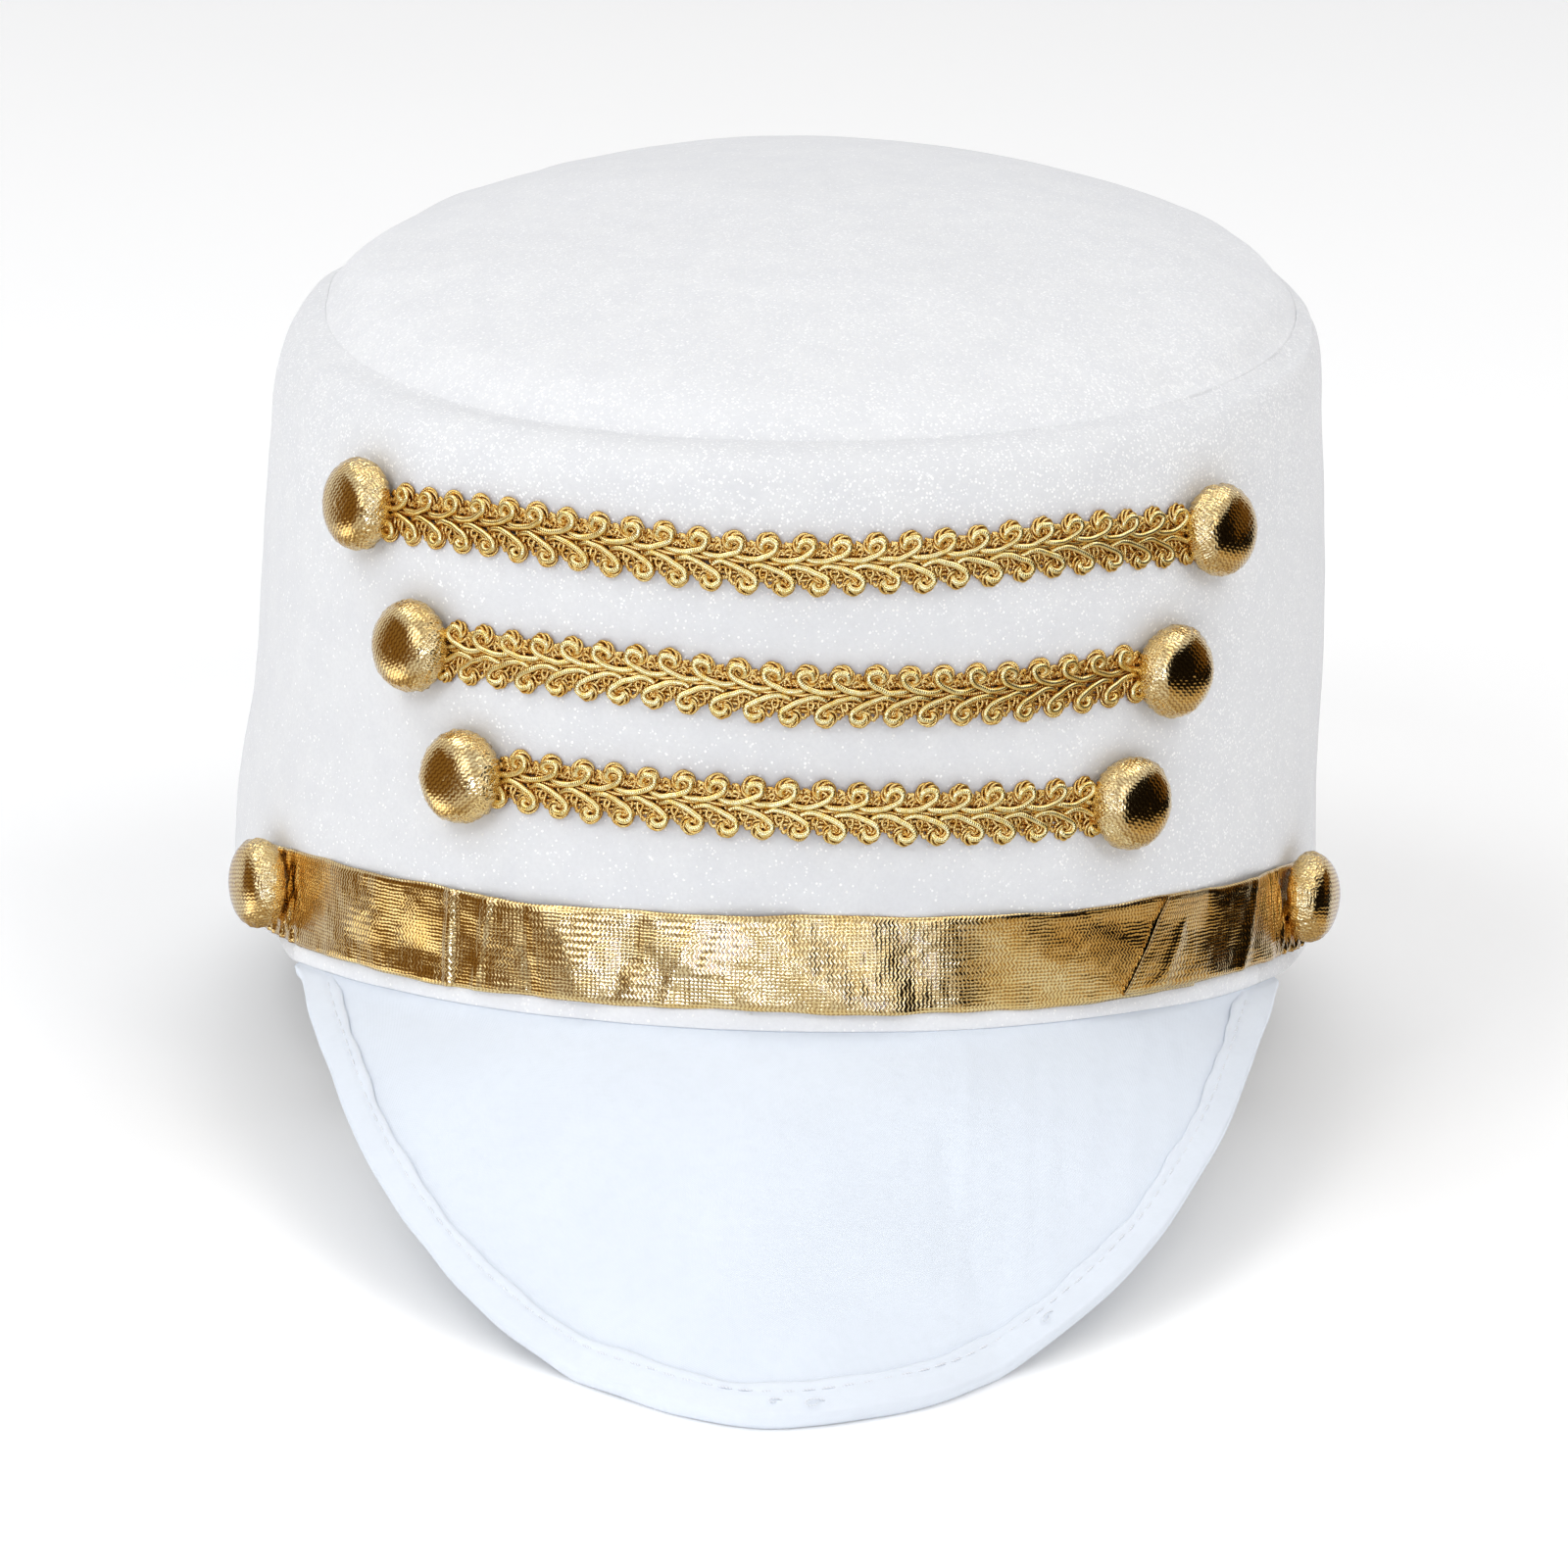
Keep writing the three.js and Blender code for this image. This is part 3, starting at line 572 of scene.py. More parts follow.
def lame_material(name, knit=0.6, ribs=False, grain=0.35, ease=3.0, strength=0.5, painted_groove_shade=0.7, painted_pit_shade=0.0, lean=False):
    """Gold lame: a metallic film over a fine knit, with painted shade in the knit's grooves and, where asked, in the
    low spots of its grit. UV is in millimetres.
    """
    g = Nodes(name)
    uv = g.uv()
    warp = g.noise(uv, 0.7, 2, 0.5, out="Color")
    bent = g.vmath("ADD", uv, g.vmath("SCALE", g.vmath("SUBTRACT", warp, (0.5, 0.5, 0.5)), scale=0.5))
    split = g.new("ShaderNodeSeparateXYZ")
    g.set(split.inputs[0], bent)
    u, v = split.outputs[0], split.outputs[1]
    two_pi = 2 * math.pi
    patch = g.ramp(g.noise(uv, 0.13, 2, 0.5), 0.38, 0.62)
    if ribs:
        zig = g.math("MULTIPLY", g.math("SINE", g.math("MULTIPLY", v, two_pi / 0.9)), 0.10)
        rows = g.math("SINE", g.math("MULTIPLY", g.math("ADD", u, zig), two_pi / knit))
        across = g.math("SINE", g.math("MULTIPLY", v, two_pi / (knit * 1.7)))
        cloth = g.math("ADD", rows, g.math("MULTIPLY", across, 0.22))
    else:
        zig = g.math("MULTIPLY", g.math("PINGPONG", v, 0.55), g.ramp(patch, 0, 1, 0.7, 0.3))
        rows = g.math("SINE", g.math("MULTIPLY", g.math("ADD", u, zig), two_pi / knit))
        across = g.math("SINE", g.math("MULTIPLY", v, two_pi / 0.55))
        cloth = g.math("ADD", g.math("MULTIPLY", rows, g.ramp(patch, 0, 1, 1.0, 0.6)), g.math("MULTIPLY", across, g.ramp(patch, 0, 1, 0.12, 0.75)))
    grit = g.noise(uv, 1.9 if painted_pit_shade else 1.6, 3, 0.62)
    slack = g.noise(uv, 0.35, 2, 0.5)
    height = g.math("ADD", g.math("MULTIPLY", cloth, 0.85), g.math("ADD", g.math("MULTIPLY", grit, grain), g.math("MULTIPLY", slack, ease)))
    hue = g.noise(uv, 0.2, 3, 0.6)
    base = g.mix(g.ramp(hue, 0.3, 0.7), (0.89, 0.62, 0.23), (0.95, 0.74, 0.35))
    # painted shade: darker down in the knit's grooves
    base = g.mix(g.ramp(cloth, -0.9, 0.3, painted_groove_shade, 0.0), base, (0.34, 0.145, 0.018))
    # painted shade: darker in the low spots of the grit
    if painted_pit_shade:
        base = g.mix(g.ramp(grit, 0.36, 0.50, painted_pit_shade, 0.0), base, (0.36, 0.15, 0.02))
    under = None
    if lean:
        us, vs = g.new("ShaderNodeSeparateXYZ"), None
        g.set(us.inputs[0], uv)
        us, vs = us.outputs[0], us.outputs[1]
        near = g.math("MULTIPLY", g.ramp(us, -78, -70), g.math("MULTIPLY", g.ramp(us, -50, -57), g.ramp(vs, 6.0, 9.0)))
        far = g.math("MULTIPLY", g.ramp(us, 20, 38), g.ramp(us, 82, 74))
        how = g.math("ADD", g.math("MULTIPLY", near, 0.16), g.math("MULTIPLY", far, 0.31))
        down = g.new("ShaderNodeCombineXYZ")
        g.set(down.inputs[2], g.math("MULTIPLY", how, -1.0))
        facing = g.new("ShaderNodeNewGeometry").outputs["Normal"]
        under = g.vmath("NORMALIZE", g.vmath("ADD", facing, down.outputs[0]))
    return g.put(Base_Color=base, Metallic=1.0, Roughness=0.14, Normal=g.bump(height, 0.00007, strength, under),
                 Coat_Weight=0.3, Coat_Roughness=0.1)


def floor_material():
    g = Nodes("studio_floor")
    at = g.object_coords()
    base = g.mix(g.ramp(g.noise(at, 3, 2, 0.5), 0.3, 0.7), (0.955, 0.955, 0.955), (0.965, 0.965, 0.965))
    g.mat.cycles.emission_sampling = "NONE"
    return g.put(Base_Color=base, Roughness=0.85, Specular_IOR_Level=0.15,
                 Emission_Color=(1.0, 1.0, 1.0), Emission_Strength=0.08)


# Copies of the same velvet: the wall's darker copy is painted shade, the lighter copy on the strip under the ribbon is
# painted light against the shade there
VELVET = velvet_material("velvet", 1.006)
VELVET_WALL_SHADED = velvet_material("velvet_wall_painted_shade", 0.957)
VELVET_LIT_UNDER_RIBBON = velvet_material("velvet_under_ribbon_painted_light", 1.075)
COTTON = cotton_material("cotton")
TAPE = cotton_material("cotton_tape", (0.785, 0.838, 0.915))
LINING = lining_material("lining")
THREAD = thread_material("white_thread", (0.84, 0.87, 0.93))
# The rope copy is the same gold yarn, painted darker and more orange: painted shade on the twisted loops, the tying
# yarns and the core cords.
GIMP = gimp_material("gimp_cord", (0.96, 0.80, 0.37), (0.85, 0.58, 0.14), 0.22, 0.95, 0.25)
GIMP_SHADED = gimp_material("gimp_rope_painted_shade", (0.96, 0.69, 0.24), (0.72, 0.37, 0.045), 0.22, 0.95, 0.3)
LAME_BAND = lame_material("lame_ribbon", 0.66, ease=4.5, strength=0.3, painted_groove_shade=0.74, lean=True)
LAME_BUTTON = lame_material("lame_button", 0.68, ribs=True, grain=0.25, ease=0.0, strength=0.2, painted_groove_shade=0.68)
LAME_RIM = lame_material("lame_rim", 0.68, grain=1.8, ease=0.0, strength=0.55, painted_groove_shade=0.4, painted_pit_shade=0.5)


def piece(obj, slot, *nodes):
    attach(obj, "root")
    if nodes:
        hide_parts(*nodes)
    return obj


# --------------------------------------------------------------- crown: wall

NAP = 0.25
TURNS = 400
turns = -180 + np.arange(TURNS) * 360.0 / TURNS

seam_inset = inset_at(turns)
seam_drop = drop_at(turns)
_p = over_wall(turns, 95.0, -seam_inset)
seam_z = seam_height(_p[:, 0], _p[:, 1])

soft_at = table([(-180, 1.6), (-120, 1.5), (-98, 1.1), (-80, 1.9), (-55, 1.9), (-30, 1.25), (0, 1.1), (30, 1.25),
                 (55, 1.9), (80, 1.9), (96, 1.1), (120, 1.5), (180, 1.6)])
panel_rim = over_wall(turns, seam_z, -seam_inset - 0.03)
panel_middle = over_wall(turns, seam_z, -seam_inset - GAP).mean(0)
panel_reach = np.linalg.norm(panel_rim[:, :2] - panel_middle[:2], axis=1)


def even_seam():
    """The padded cloth's heights across the seam, by distance inward from it."""
    w = np.arange(-10.0, 14.01, 0.2)
    col = lambda v: v[:, None]
    x = col(seam_inset) + w[None]
    across = col(seam_inset * CREST)
    lip = col(seam_inset) - across
    crest = col(seam_z + dip_at(turns))
    share = np.clip(x / across, 0, 1)
    arc = crest - col(seam_drop) * (1 - np.sqrt(1 - (1 - share) ** 2)) + NAP
    s = np.clip((x - across) / lip, 0, 1)
    edge = col(seam_z) + 0.15 + (crest + NAP - col(seam_z) - 0.15) * np.sqrt(1 - s ** 2)
    q = 1 - np.clip(w, 0, None)[None] / col(panel_reach)
    px = panel_middle[0] + col(panel_rim[:, 0] - panel_middle[0]) * q
    py = panel_middle[1] + col(panel_rim[:, 1] - panel_middle[1]) * q
    z = np.where(w[None] < 0, np.where(x < across, arc, edge), seam_height(px, py) + swell(q) + NAP)
    even = np.empty_like(z)
    for i, sigma in enumerate(soft_at(turns)):
        k = np.exp(-0.5 * (np.arange(-30, 31) * 0.2 / sigma) ** 2)
        even[i] = np.convolve(np.pad(z[i], 30, mode="edge"), k / k.sum(), mode="valid")
    weight = np.exp(-(w[None] / (2.4 * col(soft_at(turns)))) ** 2) * smooth((x - 1.0) / 3.0)
    return w, even, weight


SEAM_W, SEAM_EVEN, SEAM_SHARE = even_seam()


def evened(z, w, i):
    """A height near the seam, w inward of it at the i-th turn, once evened out."""
    share = np.interp(w, SEAM_W, SEAM_SHARE[i])
    return z + (np.interp(w, SEAM_W, SEAM_EVEN[i]) - z) * share - 0.05 * np.exp(-(w / 0.5) ** 2)


button_at = {n: over_wall(t, h, 0) for n, (t, h, o) in BUTTONS.items()}
braid_line = {n: table(row[3]) for n, row in BRAIDS.items()}
CLOTH_WAVE = waves(26, 90, 30, 3, 11)
CLOTH_FINE = waves(30, 22, 9, 3, 12)
SEAM_PUCKER = waves(18, 26, 9, 3, 13)


def cloth_relief(p, turn, height):
    """How far the velvet stands from its plain form: sag, dimples, pucker."""
    d = 0.22 * CLOTH_WAVE(p) + 0.05 * CLOTH_FINE(p)
    for n, at in button_at.items():
        r = np.linalg.norm(p - at, axis=-1)
        d -= 0.75 * np.exp(-(r / 7.5) ** 4) - 0.22 * np.exp(-((r - 13.0) / 4.0) ** 2)
    for n, (left, right, way, rows) in BRAIDS.items():
        inside = smooth((turn - BUTTONS[left][0]) / 4) * smooth((BUTTONS[right][0] - turn) / 4)
        v = height - braid_line[n](turn)
        d -= inside * (0.30 * np.exp(-(v / 4.6) ** 4) - 0.16 * np.exp(-((np.abs(v) - 8.5) / 3.0) ** 2))
    inside = smooth((turn - BAND_FROM) / 4) * smooth((BAND_TO - turn) / 4)
    d += inside * 0.30 * np.exp(-((height - 22.0) / 3.6) ** 2)
    under = inside * smooth((height - 2.2) / 1.4) * smooth((19.2 - height) / 1.6)
    return d * (1 - under) - 0.22 * under


def build_wall():
    rows_out, rows_up, outer, share = [], [], [], []
    crest = seam_z + dip_at(turns)
    start = crest - seam_drop
    across = seam_inset * CREST
    lip = seam_inset - across
    r = 0.55                                   # the hem's rounding
    base_out = hem(turns, 0)
    # round the hem, from the inside to the outside
    for a in np.linspace(180, 0, 9):
        c, s = math.cos(math.radians(a)), math.sin(math.radians(a))
        out = -1.0 + c * 1.0 + (NAP if a < 90 else NAP * 0)
        rows_out.append(np.full(TURNS, out))
        rows_up.append(hem(turns, out) + r * (1 - s))
        outer.append(a < 60)
        share.append(0.0)
    for t in np.linspace(0, 1, 86)[1:]:
        rows_out.append(np.full(TURNS, NAP))
        rows_up.append(base_out + r + (start - base_out - r) * t)
        outer.append(True)
        share.append(t)
    for a in np.linspace(0, 90, 17)[1:]:
        c, s = math.cos(math.radians(a)), math.sin(math.radians(a))
        nx, ny = c / across, s / seam_drop
        ln = np.hypot(nx, ny)
        rows_out.append(-across * (1 - c) + NAP * nx / ln)
        rows_up.append(start + seam_drop * s + NAP * ny / ln)
        outer.append(True)
        share.append(1 + a / 90)
    for a in np.linspace(0, 90, 9)[1:]:
        c, s = math.cos(math.radians(a)), math.sin(math.radians(a))
        rows_out.append(-across - (lip - 0.03) * s)
        rows_up.append(seam_z + 0.15 + (crest + NAP - seam_z - 0.15) * c)
        outer.append(a < 60)
        share.append(2.0)
    rows_out.append(-seam_inset + 0.04 + 0 * turns)
    rows_up.append(seam_z - 1.4)
    outer.append(False)
    share.append(2.0)
    n_outer = len(rows_out)
    # the inner face, back down to the hem
    rows_out.append(-seam_inset + 0.05 + 0 * turns)
    rows_up.append(seam_z - 2.0)
    for a in np.linspace(90, 0, 8):
        c, s = math.cos(math.radians(a)), math.sin(math.radians(a))
        nx, ny = c / across, s / seam_drop
        ln = np.hypot(nx, ny)
        rows_out.append(-across * (1 - c) - 2.0 * nx / ln)
        rows_up.append(start + seam_drop * s - 2.0 * ny / ln - (0.9 if a > 60 else 0.0))
    for t in np.linspace(1, 0, 16)[1:-1]:
        rows_out.append(np.full(TURNS, -2.0))
        low = hem(turns, -2.0) + r
        rows_up.append(low + (start - low) * t)
    k_in = len(rows_out) - n_outer
    out = np.stack(rows_out, 1)
    up = np.stack(rows_up, 1)
    crown = [j for j, v in enumerate(share) if v > 1 and j < n_outer - 1]
    for i in range(TURNS):
        up[i, crown] = evened(up[i, crown], -out[i, crown] - seam_inset[i], i)
    outer = np.array(outer + [False] * k_in)
    share = np.array(share + [0.0] * k_in)
    p = over_wall(turns[:, None], up, out)
    n = grid_normals(p, True, True)
    # make the normals point out of the wall
    mid = len(share) // 3
    if n[TURNS // 2, 40] @ wall_normal(turns[TURNS // 2], up[TURNS // 2, 40]) < 0:
        n = -n
    relief = cloth_relief(p, turns[:, None], up)
    pucker = 0.10 * SEAM_PUCKER(p) * smooth((share - 1.2) / 0.5)[None]
    fade = np.where(outer, np.where(share < 0.02, 0.5, 1.0), 0.0)[None]
    fade = fade * (1 - 0.75 * smooth((share - 1.4) / 0.5))[None] + 0 * relief
    p = settle(p + n * ((relief * fade) + np.where(outer, 1, 0)[None] * pucker)[..., None])
    k = p.shape[1]
    faces = grid_faces(TURNS, k, True, True)
    # the strip under the ribbon takes the lighter copy: painted light against the shade under the ribbon
    which = np.where((up < BAND_BOTTOM + 1.2) & outer[None] & (np.abs(turns)[:, None] < 58), 2, 0)
    which[:, n_outer - 1:k] = 1
    uv = np.stack(np.broadcast_arrays(turns[:, None] * 1.6, up), -1)
    return mesh_object("velvet_wall", p, faces, [VELVET_WALL_SHADED, LINING, VELVET_LIT_UNDER_RIBBON], uv, which.ravel())


wall = piece(build_wall(), "velvet", "crown_side")


# ---------------------------------------------------------------- crown: top

def build_top():
    rim, middle = panel_rim, panel_middle
    reach = np.concatenate([np.linspace(0.012, 0.86, 58), np.linspace(0.86, 1.0, 22)[1:-1], [0.9975, 1.0]])
    top, low = [], []
    for q in reach:
        xy = middle[:2] + (rim[:, :2] - middle[:2]) * q
        z = seam_height(xy[:, 0], xy[:, 1]) + swell(q) + NAP
        z = np.array([evened(z[i], (1 - q) * panel_reach[i], i) for i in range(TURNS)])
        top.append(np.concatenate([xy, z[:, None]], 1))
    for q in [0.985, 0.96, 0.92, 0.85, 0.7, 0.5, 0.3, 0.12, 0.02]:
        xy = middle[:2] + (rim[:, :2] - middle[:2]) * q
        z = seam_height(xy[:, 0], xy[:, 1]) + swell(q) - 2.0
        low.append(np.concatenate([xy, z[:, None]], 1))
    edge = top[-1].copy()
    edge[:, 2] = seam_z - 1.5
    p = np.stack(top + [edge] + low, 1)
    n_top = len(top)
    n = grid_normals(p, True, False)
    if n[0, 20, 2] < 0:
        n = -n
    q = np.concatenate([reach, np.ones(1 + len(low))])
    d = 0.30 * CLOTH_WAVE(p) + 0.06 * CLOTH_FINE(p)
    d = d * (1 - smooth((q - 0.93) / 0.07))[None] + 0.12 * SEAM_PUCKER(p) * (smooth((q - 0.80) / 0.12) * (1 - smooth((q - 0.97) / 0.03)))[None]
    d[:, n_top:] = 0
    p = p + n * d[..., None]
    k = p.shape[1]
    faces = grid_faces(TURNS, k, True, False)
    pts = p.reshape(-1, 3)
    c_top = p[:, 0].mean(0) + [0, 0, 0.02]
    c_low = p[:, -1].mean(0)
    pts = np.concatenate([pts, [c_top, c_low]])
    i = np.arange(TURNS)
    i2 = (i + 1) % TURNS
    none = -np.ones(TURNS, int)
    fan1 = np.stack([np.full(TURNS, TURNS * k), i * k, i2 * k, none], 1)
    fan2 = np.stack([np.full(TURNS, TURNS * k + 1), i2 * k + k - 1, i * k + k - 1, none], 1)
    which = np.zeros((TURNS, k - 1), int)
    which[:, n_top:] = 1
    faces = np.concatenate([faces, fan1, fan2])
    which = np.concatenate([which.ravel(), np.zeros(TURNS, int), np.ones(TURNS, int)])
    return mesh_object("velvet_top", pts, faces, [VELVET, LINING], pts[:, :2], which)


top = piece(build_top(), "velvet", "crown_top")


# ---------------------------------------------------------------------- peak

PEAK_WAVE = waves(22, 70, 24, 3, 21)


def peak_relief(turn, along, length):
    """Soft wrinkles in the cotton over the board, most on the right, where they run straight forward."""
    d = np.zeros(np.broadcast_shapes(turn.shape, along.shape))
    x = turn + 0 * along
    share = along / length
    rng = np.random.default_rng(31)
    for at, amp, wide, s0, s1 in [(16.0, 0.14, 0.8, 0.10, 0.75), (19.2, 0.30, 0.7, 0.0, 0.85), (22.3, 0.15, 0.7, 0.2, 0.9),
                                  (25.3, 0.24, 0.8, 0.05, 0.95), (29.0, 0.22, 0.8, 0.15, 0.95), (33.5, 0.15, 0.8, 0.0, 0.8),
                                  (39.5, 0.24, 0.9, 0.0, 0.9), (43.5, 0.16, 0.8, 0.1, 0.95), (-44.0, 0.16, 0.8, 0.0, 0.6), (-47.5, 0.12, 0.7, 0.1, 0.9)]:
        ahead = np.degrees(np.arcsin(np.sin(np.radians(at)) * 90 / (90 + along))) if at > 0 else at
        drift = ahead + 0.5 * np.sin(share * 3.1 + at) + 0.5 * rng.uniform(-1, 1) * share
        d += amp * np.exp(-((x - drift) / wide) ** 2) * smooth((share - s0 + 0.12) / 0.2) * smooth((s1 - share) / 0.25)
    return d


def build_peak():
    ts = np.linspace(PEAK_FROM, PEAK_TO, 341)
    slope = peak_slope(ts)
    b = np.radians(slope)
    length = peak_length(ts)
    reach = np.maximum(length - GAP - BINDING_CLOTH, 0.2)
    f_out, f_in, f_top = -2.3, -3.7, 9.0

    def top_at(out):
        return ROOT - out * np.tan(b)

    def under_at(out):
        return top_at(out) - PEAK_BOARD / np.cos(b)
    rows, along_of, kind = [], [], []

    def flange(out, z):
        rows.append(over_wall(ts, z, out))
        along_of.append(np.zeros_like(ts))
        kind.append(0)
    for z in np.linspace(1, 0, 6):
        flange(f_out, top_at(f_out) + (f_top - top_at(f_out)) * z)
    shares = np.linspace(0.0, 1, 46)
    for s in shares:
        rows.append(peak_point(ts, slope, reach * s, 0.0))
        along_of.append(reach * s)
        kind.append(1)
    for a in (45, 135):
        rows.append(peak_point(ts, slope, reach + 0.25 * math.sin(math.radians(a)), -PEAK_BOARD / 2 * (1 - math.cos(math.radians(a)))))
        along_of.append(reach)
        kind.append(0)
    for s in np.linspace(1, 0.03, 24):
        rows.append(peak_point(ts, slope, reach * s, -PEAK_BOARD))
        along_of.append(reach * s)
        kind.append(2)
    flange(f_in, under_at(f_in))
    for z in np.linspace(0, 1, 5)[1:]:
        flange(f_in, under_at(f_in) + (f_top - under_at(f_in)) * z)
    p = np.stack(rows, 1)
    along = np.stack(along_of, 1)
    kind = np.array(kind)
    n = grid_normals(p, False, True)
    if n[170, 25, 2] < 0:
        n = -n
    relief = 0.10 * PEAK_WAVE(p) + peak_relief(ts[:, None], along, length[:, None])
    edge = smooth((length[:, None] - along - 3) / 6) * smooth(along / 4)
    relief = (relief * edge + 0.42 * np.exp(-(along / 2.0) ** 2)) * (kind == 1)[None]
    p = p + n * relief[..., None]
    k = p.shape[1]
    faces = [grid_faces(len(ts), k, False, True)]
    loop = list(range(k))
    faces.append(cap(loop, 0, False))
    faces.append(cap(loop, (len(ts) - 1) * k, True))
    arc = np.radians(ts)[:, None] * 110.0
    uv = np.stack(np.broadcast_arrays(arc, along), -1)
    return mesh_object("peak_cotton", p, np.concatenate(faces), COTTON, uv)


BIND_FROM, BIND_TO = -56.4, 62.4
bind_turns = np.linspace(BIND_FROM, BIND_TO, 401)
bind_slope = peak_slope(bind_turns)
bind_edge = peak_length(bind_turns)
BIND_WAVE = waves(20, 30, 7, 3, 23)
STITCH_IN = 5.2


def build_binding():
    g, t = GAP, GAP + BINDING_CLOTH
    width = np.minimum(7.0, bind_edge + 0.9)
    ts, slope, edge = bind_turns, bind_slope, bind_edge
    ripple = 0.25 * np.sin(np.radians(ts) * 37) + 0.15 * np.sin(np.radians(ts) * 91 + 1)
    width = width + ripple * smooth((width - 2) / 4)
    rows, outside = [], []

    def row(along, up, is_out):
        rows.append(peak_point(ts, slope, along, up))
        outside.append(is_out)
    groove = lambda along: -0.16 * np.exp(-((edge - along - STITCH_IN) / 0.55) ** 2)
    tuck = lambda along: 1 - 0.38 * smooth((1.2 - along) / 1.2)
    for s in np.linspace(0, 1, 20):
        along = edge - width + (width - 0.9) * s
        up = (g + BINDING_CLOTH * min(1.0, 0.25 + s * 9) + groove(along) + 0.10 * math.sin(math.pi * s)) * tuck(along)
        row(along, up, 1.0 if 0.03 < s else 0.4)
    r = 1.15
    mid = -PEAK_BOARD / 2
    half = t + PEAK_BOARD / 2
    for a in np.linspace(90, -90, 15)[1:-1]:
        row(edge - 0.9 + 0.9 * math.cos(math.radians(a)), mid + half * math.sin(math.radians(a)), 1.0)
    for s in np.linspace(1, 0, 14):
        along = edge - width + (width - 0.9) * s
        row(along, -PEAK_BOARD - t, 0.5)
    row(edge - width, -PEAK_BOARD - g, 0)
    for s in np.linspace(0.1, 1, 5):
        row(edge - width + (width - 0.5) * s, -PEAK_BOARD - g + 0.06, 0)
    row(edge - 0.35, mid, 0)
    for s in np.linspace(1, 0.0, 6):
        row(edge - width + (width - 0.5) * s, g - 0.06, 0)
    p = np.stack(rows, 1)
    outside = np.array(outside)
    n = grid_normals(p, False, True)
    if n[200, 8, 2] < 0:
        n = -n
    p = settle(p + n * (0.07 * BIND_WAVE(p) * (outside == 1.0)[None] * np.clip(width[:, None] / 6, 0, 1))[..., None])
    k = p.shape[1]
    loop = list(range(k))
    faces = np.concatenate([grid_faces(len(ts), k, False, True), cap(loop, 0, False), cap(loop, (len(ts) - 1) * k, True)])
    step = np.linalg.norm(np.diff(p[:, 8], axis=0), axis=1)
    arc = np.concatenate([[0], np.cumsum(step)])
    uv = np.stack(np.broadcast_arrays(arc[:, None], np.arange(k)[None] * 0.4), -1)
    return mesh_object("peak_tape", p, faces, TAPE, uv)


def build_stitches():
    """The topstitching through the tape, above and below."""
    b = Build()
    fine = np.linspace(BIND_FROM + 1, BIND_TO - 1, 4000)
    sl, ed = peak_slope(fine), peak_length(fine)
    ok = ed > 6.4
    fine, sl, ed = fine[ok], sl[ok], ed[ok]
    top_line = peak_point(fine, sl, ed - STITCH_IN, GAP + BINDING_CLOTH - 0.02)
    arc = np.concatenate([[0], np.cumsum(np.linalg.norm(np.diff(top_line, axis=0), axis=1))])
    pitch, long = 3.0, 2.45
    rng = np.random.default_rng(5)
    s = 0.6
    while s + long < arc[-1] - 0.5:
        for up, sign in ((GAP + BINDING_CLOTH + 0.01, 1), (-PEAK_BOARD - GAP - BINDING_CLOTH - 0.02, -1)):
            shift = 0 if sign > 0 else pitch / 2
            q = np.linspace(s + shift, s + shift + long, 9)
            t = np.interp(q, arc, fine)
            lift = np.array([-0.30, -0.04, 0.04, 0.07, 0.08, 0.07, 0.04, -0.04, -0.30]) * sign
            side = rng.normal(0, 0.07)
            groove = -0.12 if sign > 0 else 0.0
            path = peak_point(t, np.interp(q, arc, sl), np.interp(q, arc, ed) - STITCH_IN + side, up + lift + groove)
            nrm = wall_normal(t, 0 * t) * 0.55 + np.array([0, 0, 0.83])
            sweep(b, path, np.array([.07, .13, .15, .16, .16, .16, .15, .13, .07]), 6, up=nrm, wrap=0.5)
        s += pitch + rng.normal(0, 0.06)
    # loose loops of thread where the seam was started and finished
    for t0, off, size in ((2.6, 2.3, 1.5), (0.6, 3.0, 1.0), (17.2, 3.3, 1.3)):
        q = np.linspace(0, 1, 26)
        ang = q * math.tau * 0.86
        dt = size * np.cos(ang) * 0.75 + 1.3 * (q - 0.5)
        along = size * 0.55 * np.sin(ang) + 0.5 * (q - 0.5)
        turn = t0 + dt * 0.42
        path = peak_point(turn, peak_slope(turn), peak_length(turn) - off + along,
                          GAP + BINDING_CLOTH + 0.12 + 0.55 * np.sin(np.pi * q))
        sweep(b, path, 0.085, 6, up=(0.1, -0.5, 0.85), wrap=0.5)
    return b.object("peak_stitching", THREAD)


peak = piece(build_peak(), "cotton", "peak")
tape = piece(build_binding(), "cotton", "peak_binding")
stitching = piece(build_stitches(), "cotton")


# ---------------------------------------------------------------------- band

BAND_WAVE = waves(14, 46, 20, 2, 41)
BAND_MID = waves(24, 16, 7, 2, 42)
BAND_FINE = waves(40, 5.0, 1.8, 2, 43)


def band_edge_line(turn, top):
    """The ribbon's edges wander a little."""
    x = np.radians(turn)
    if top:
        return BAND_TOP + 0.30 * np.sin(x * 7.3 + 1.1) + 0.14 * np.sin(x * 19 + 0.4) + 0.06 * np.sin(x * 47)
    return BAND_BOTTOM + 0.26 * np.sin(x * 6.1 + 2.0) + 0.16 * np.sin(x * 17 + 2.4) + 0.07 * np.sin(x * 53)


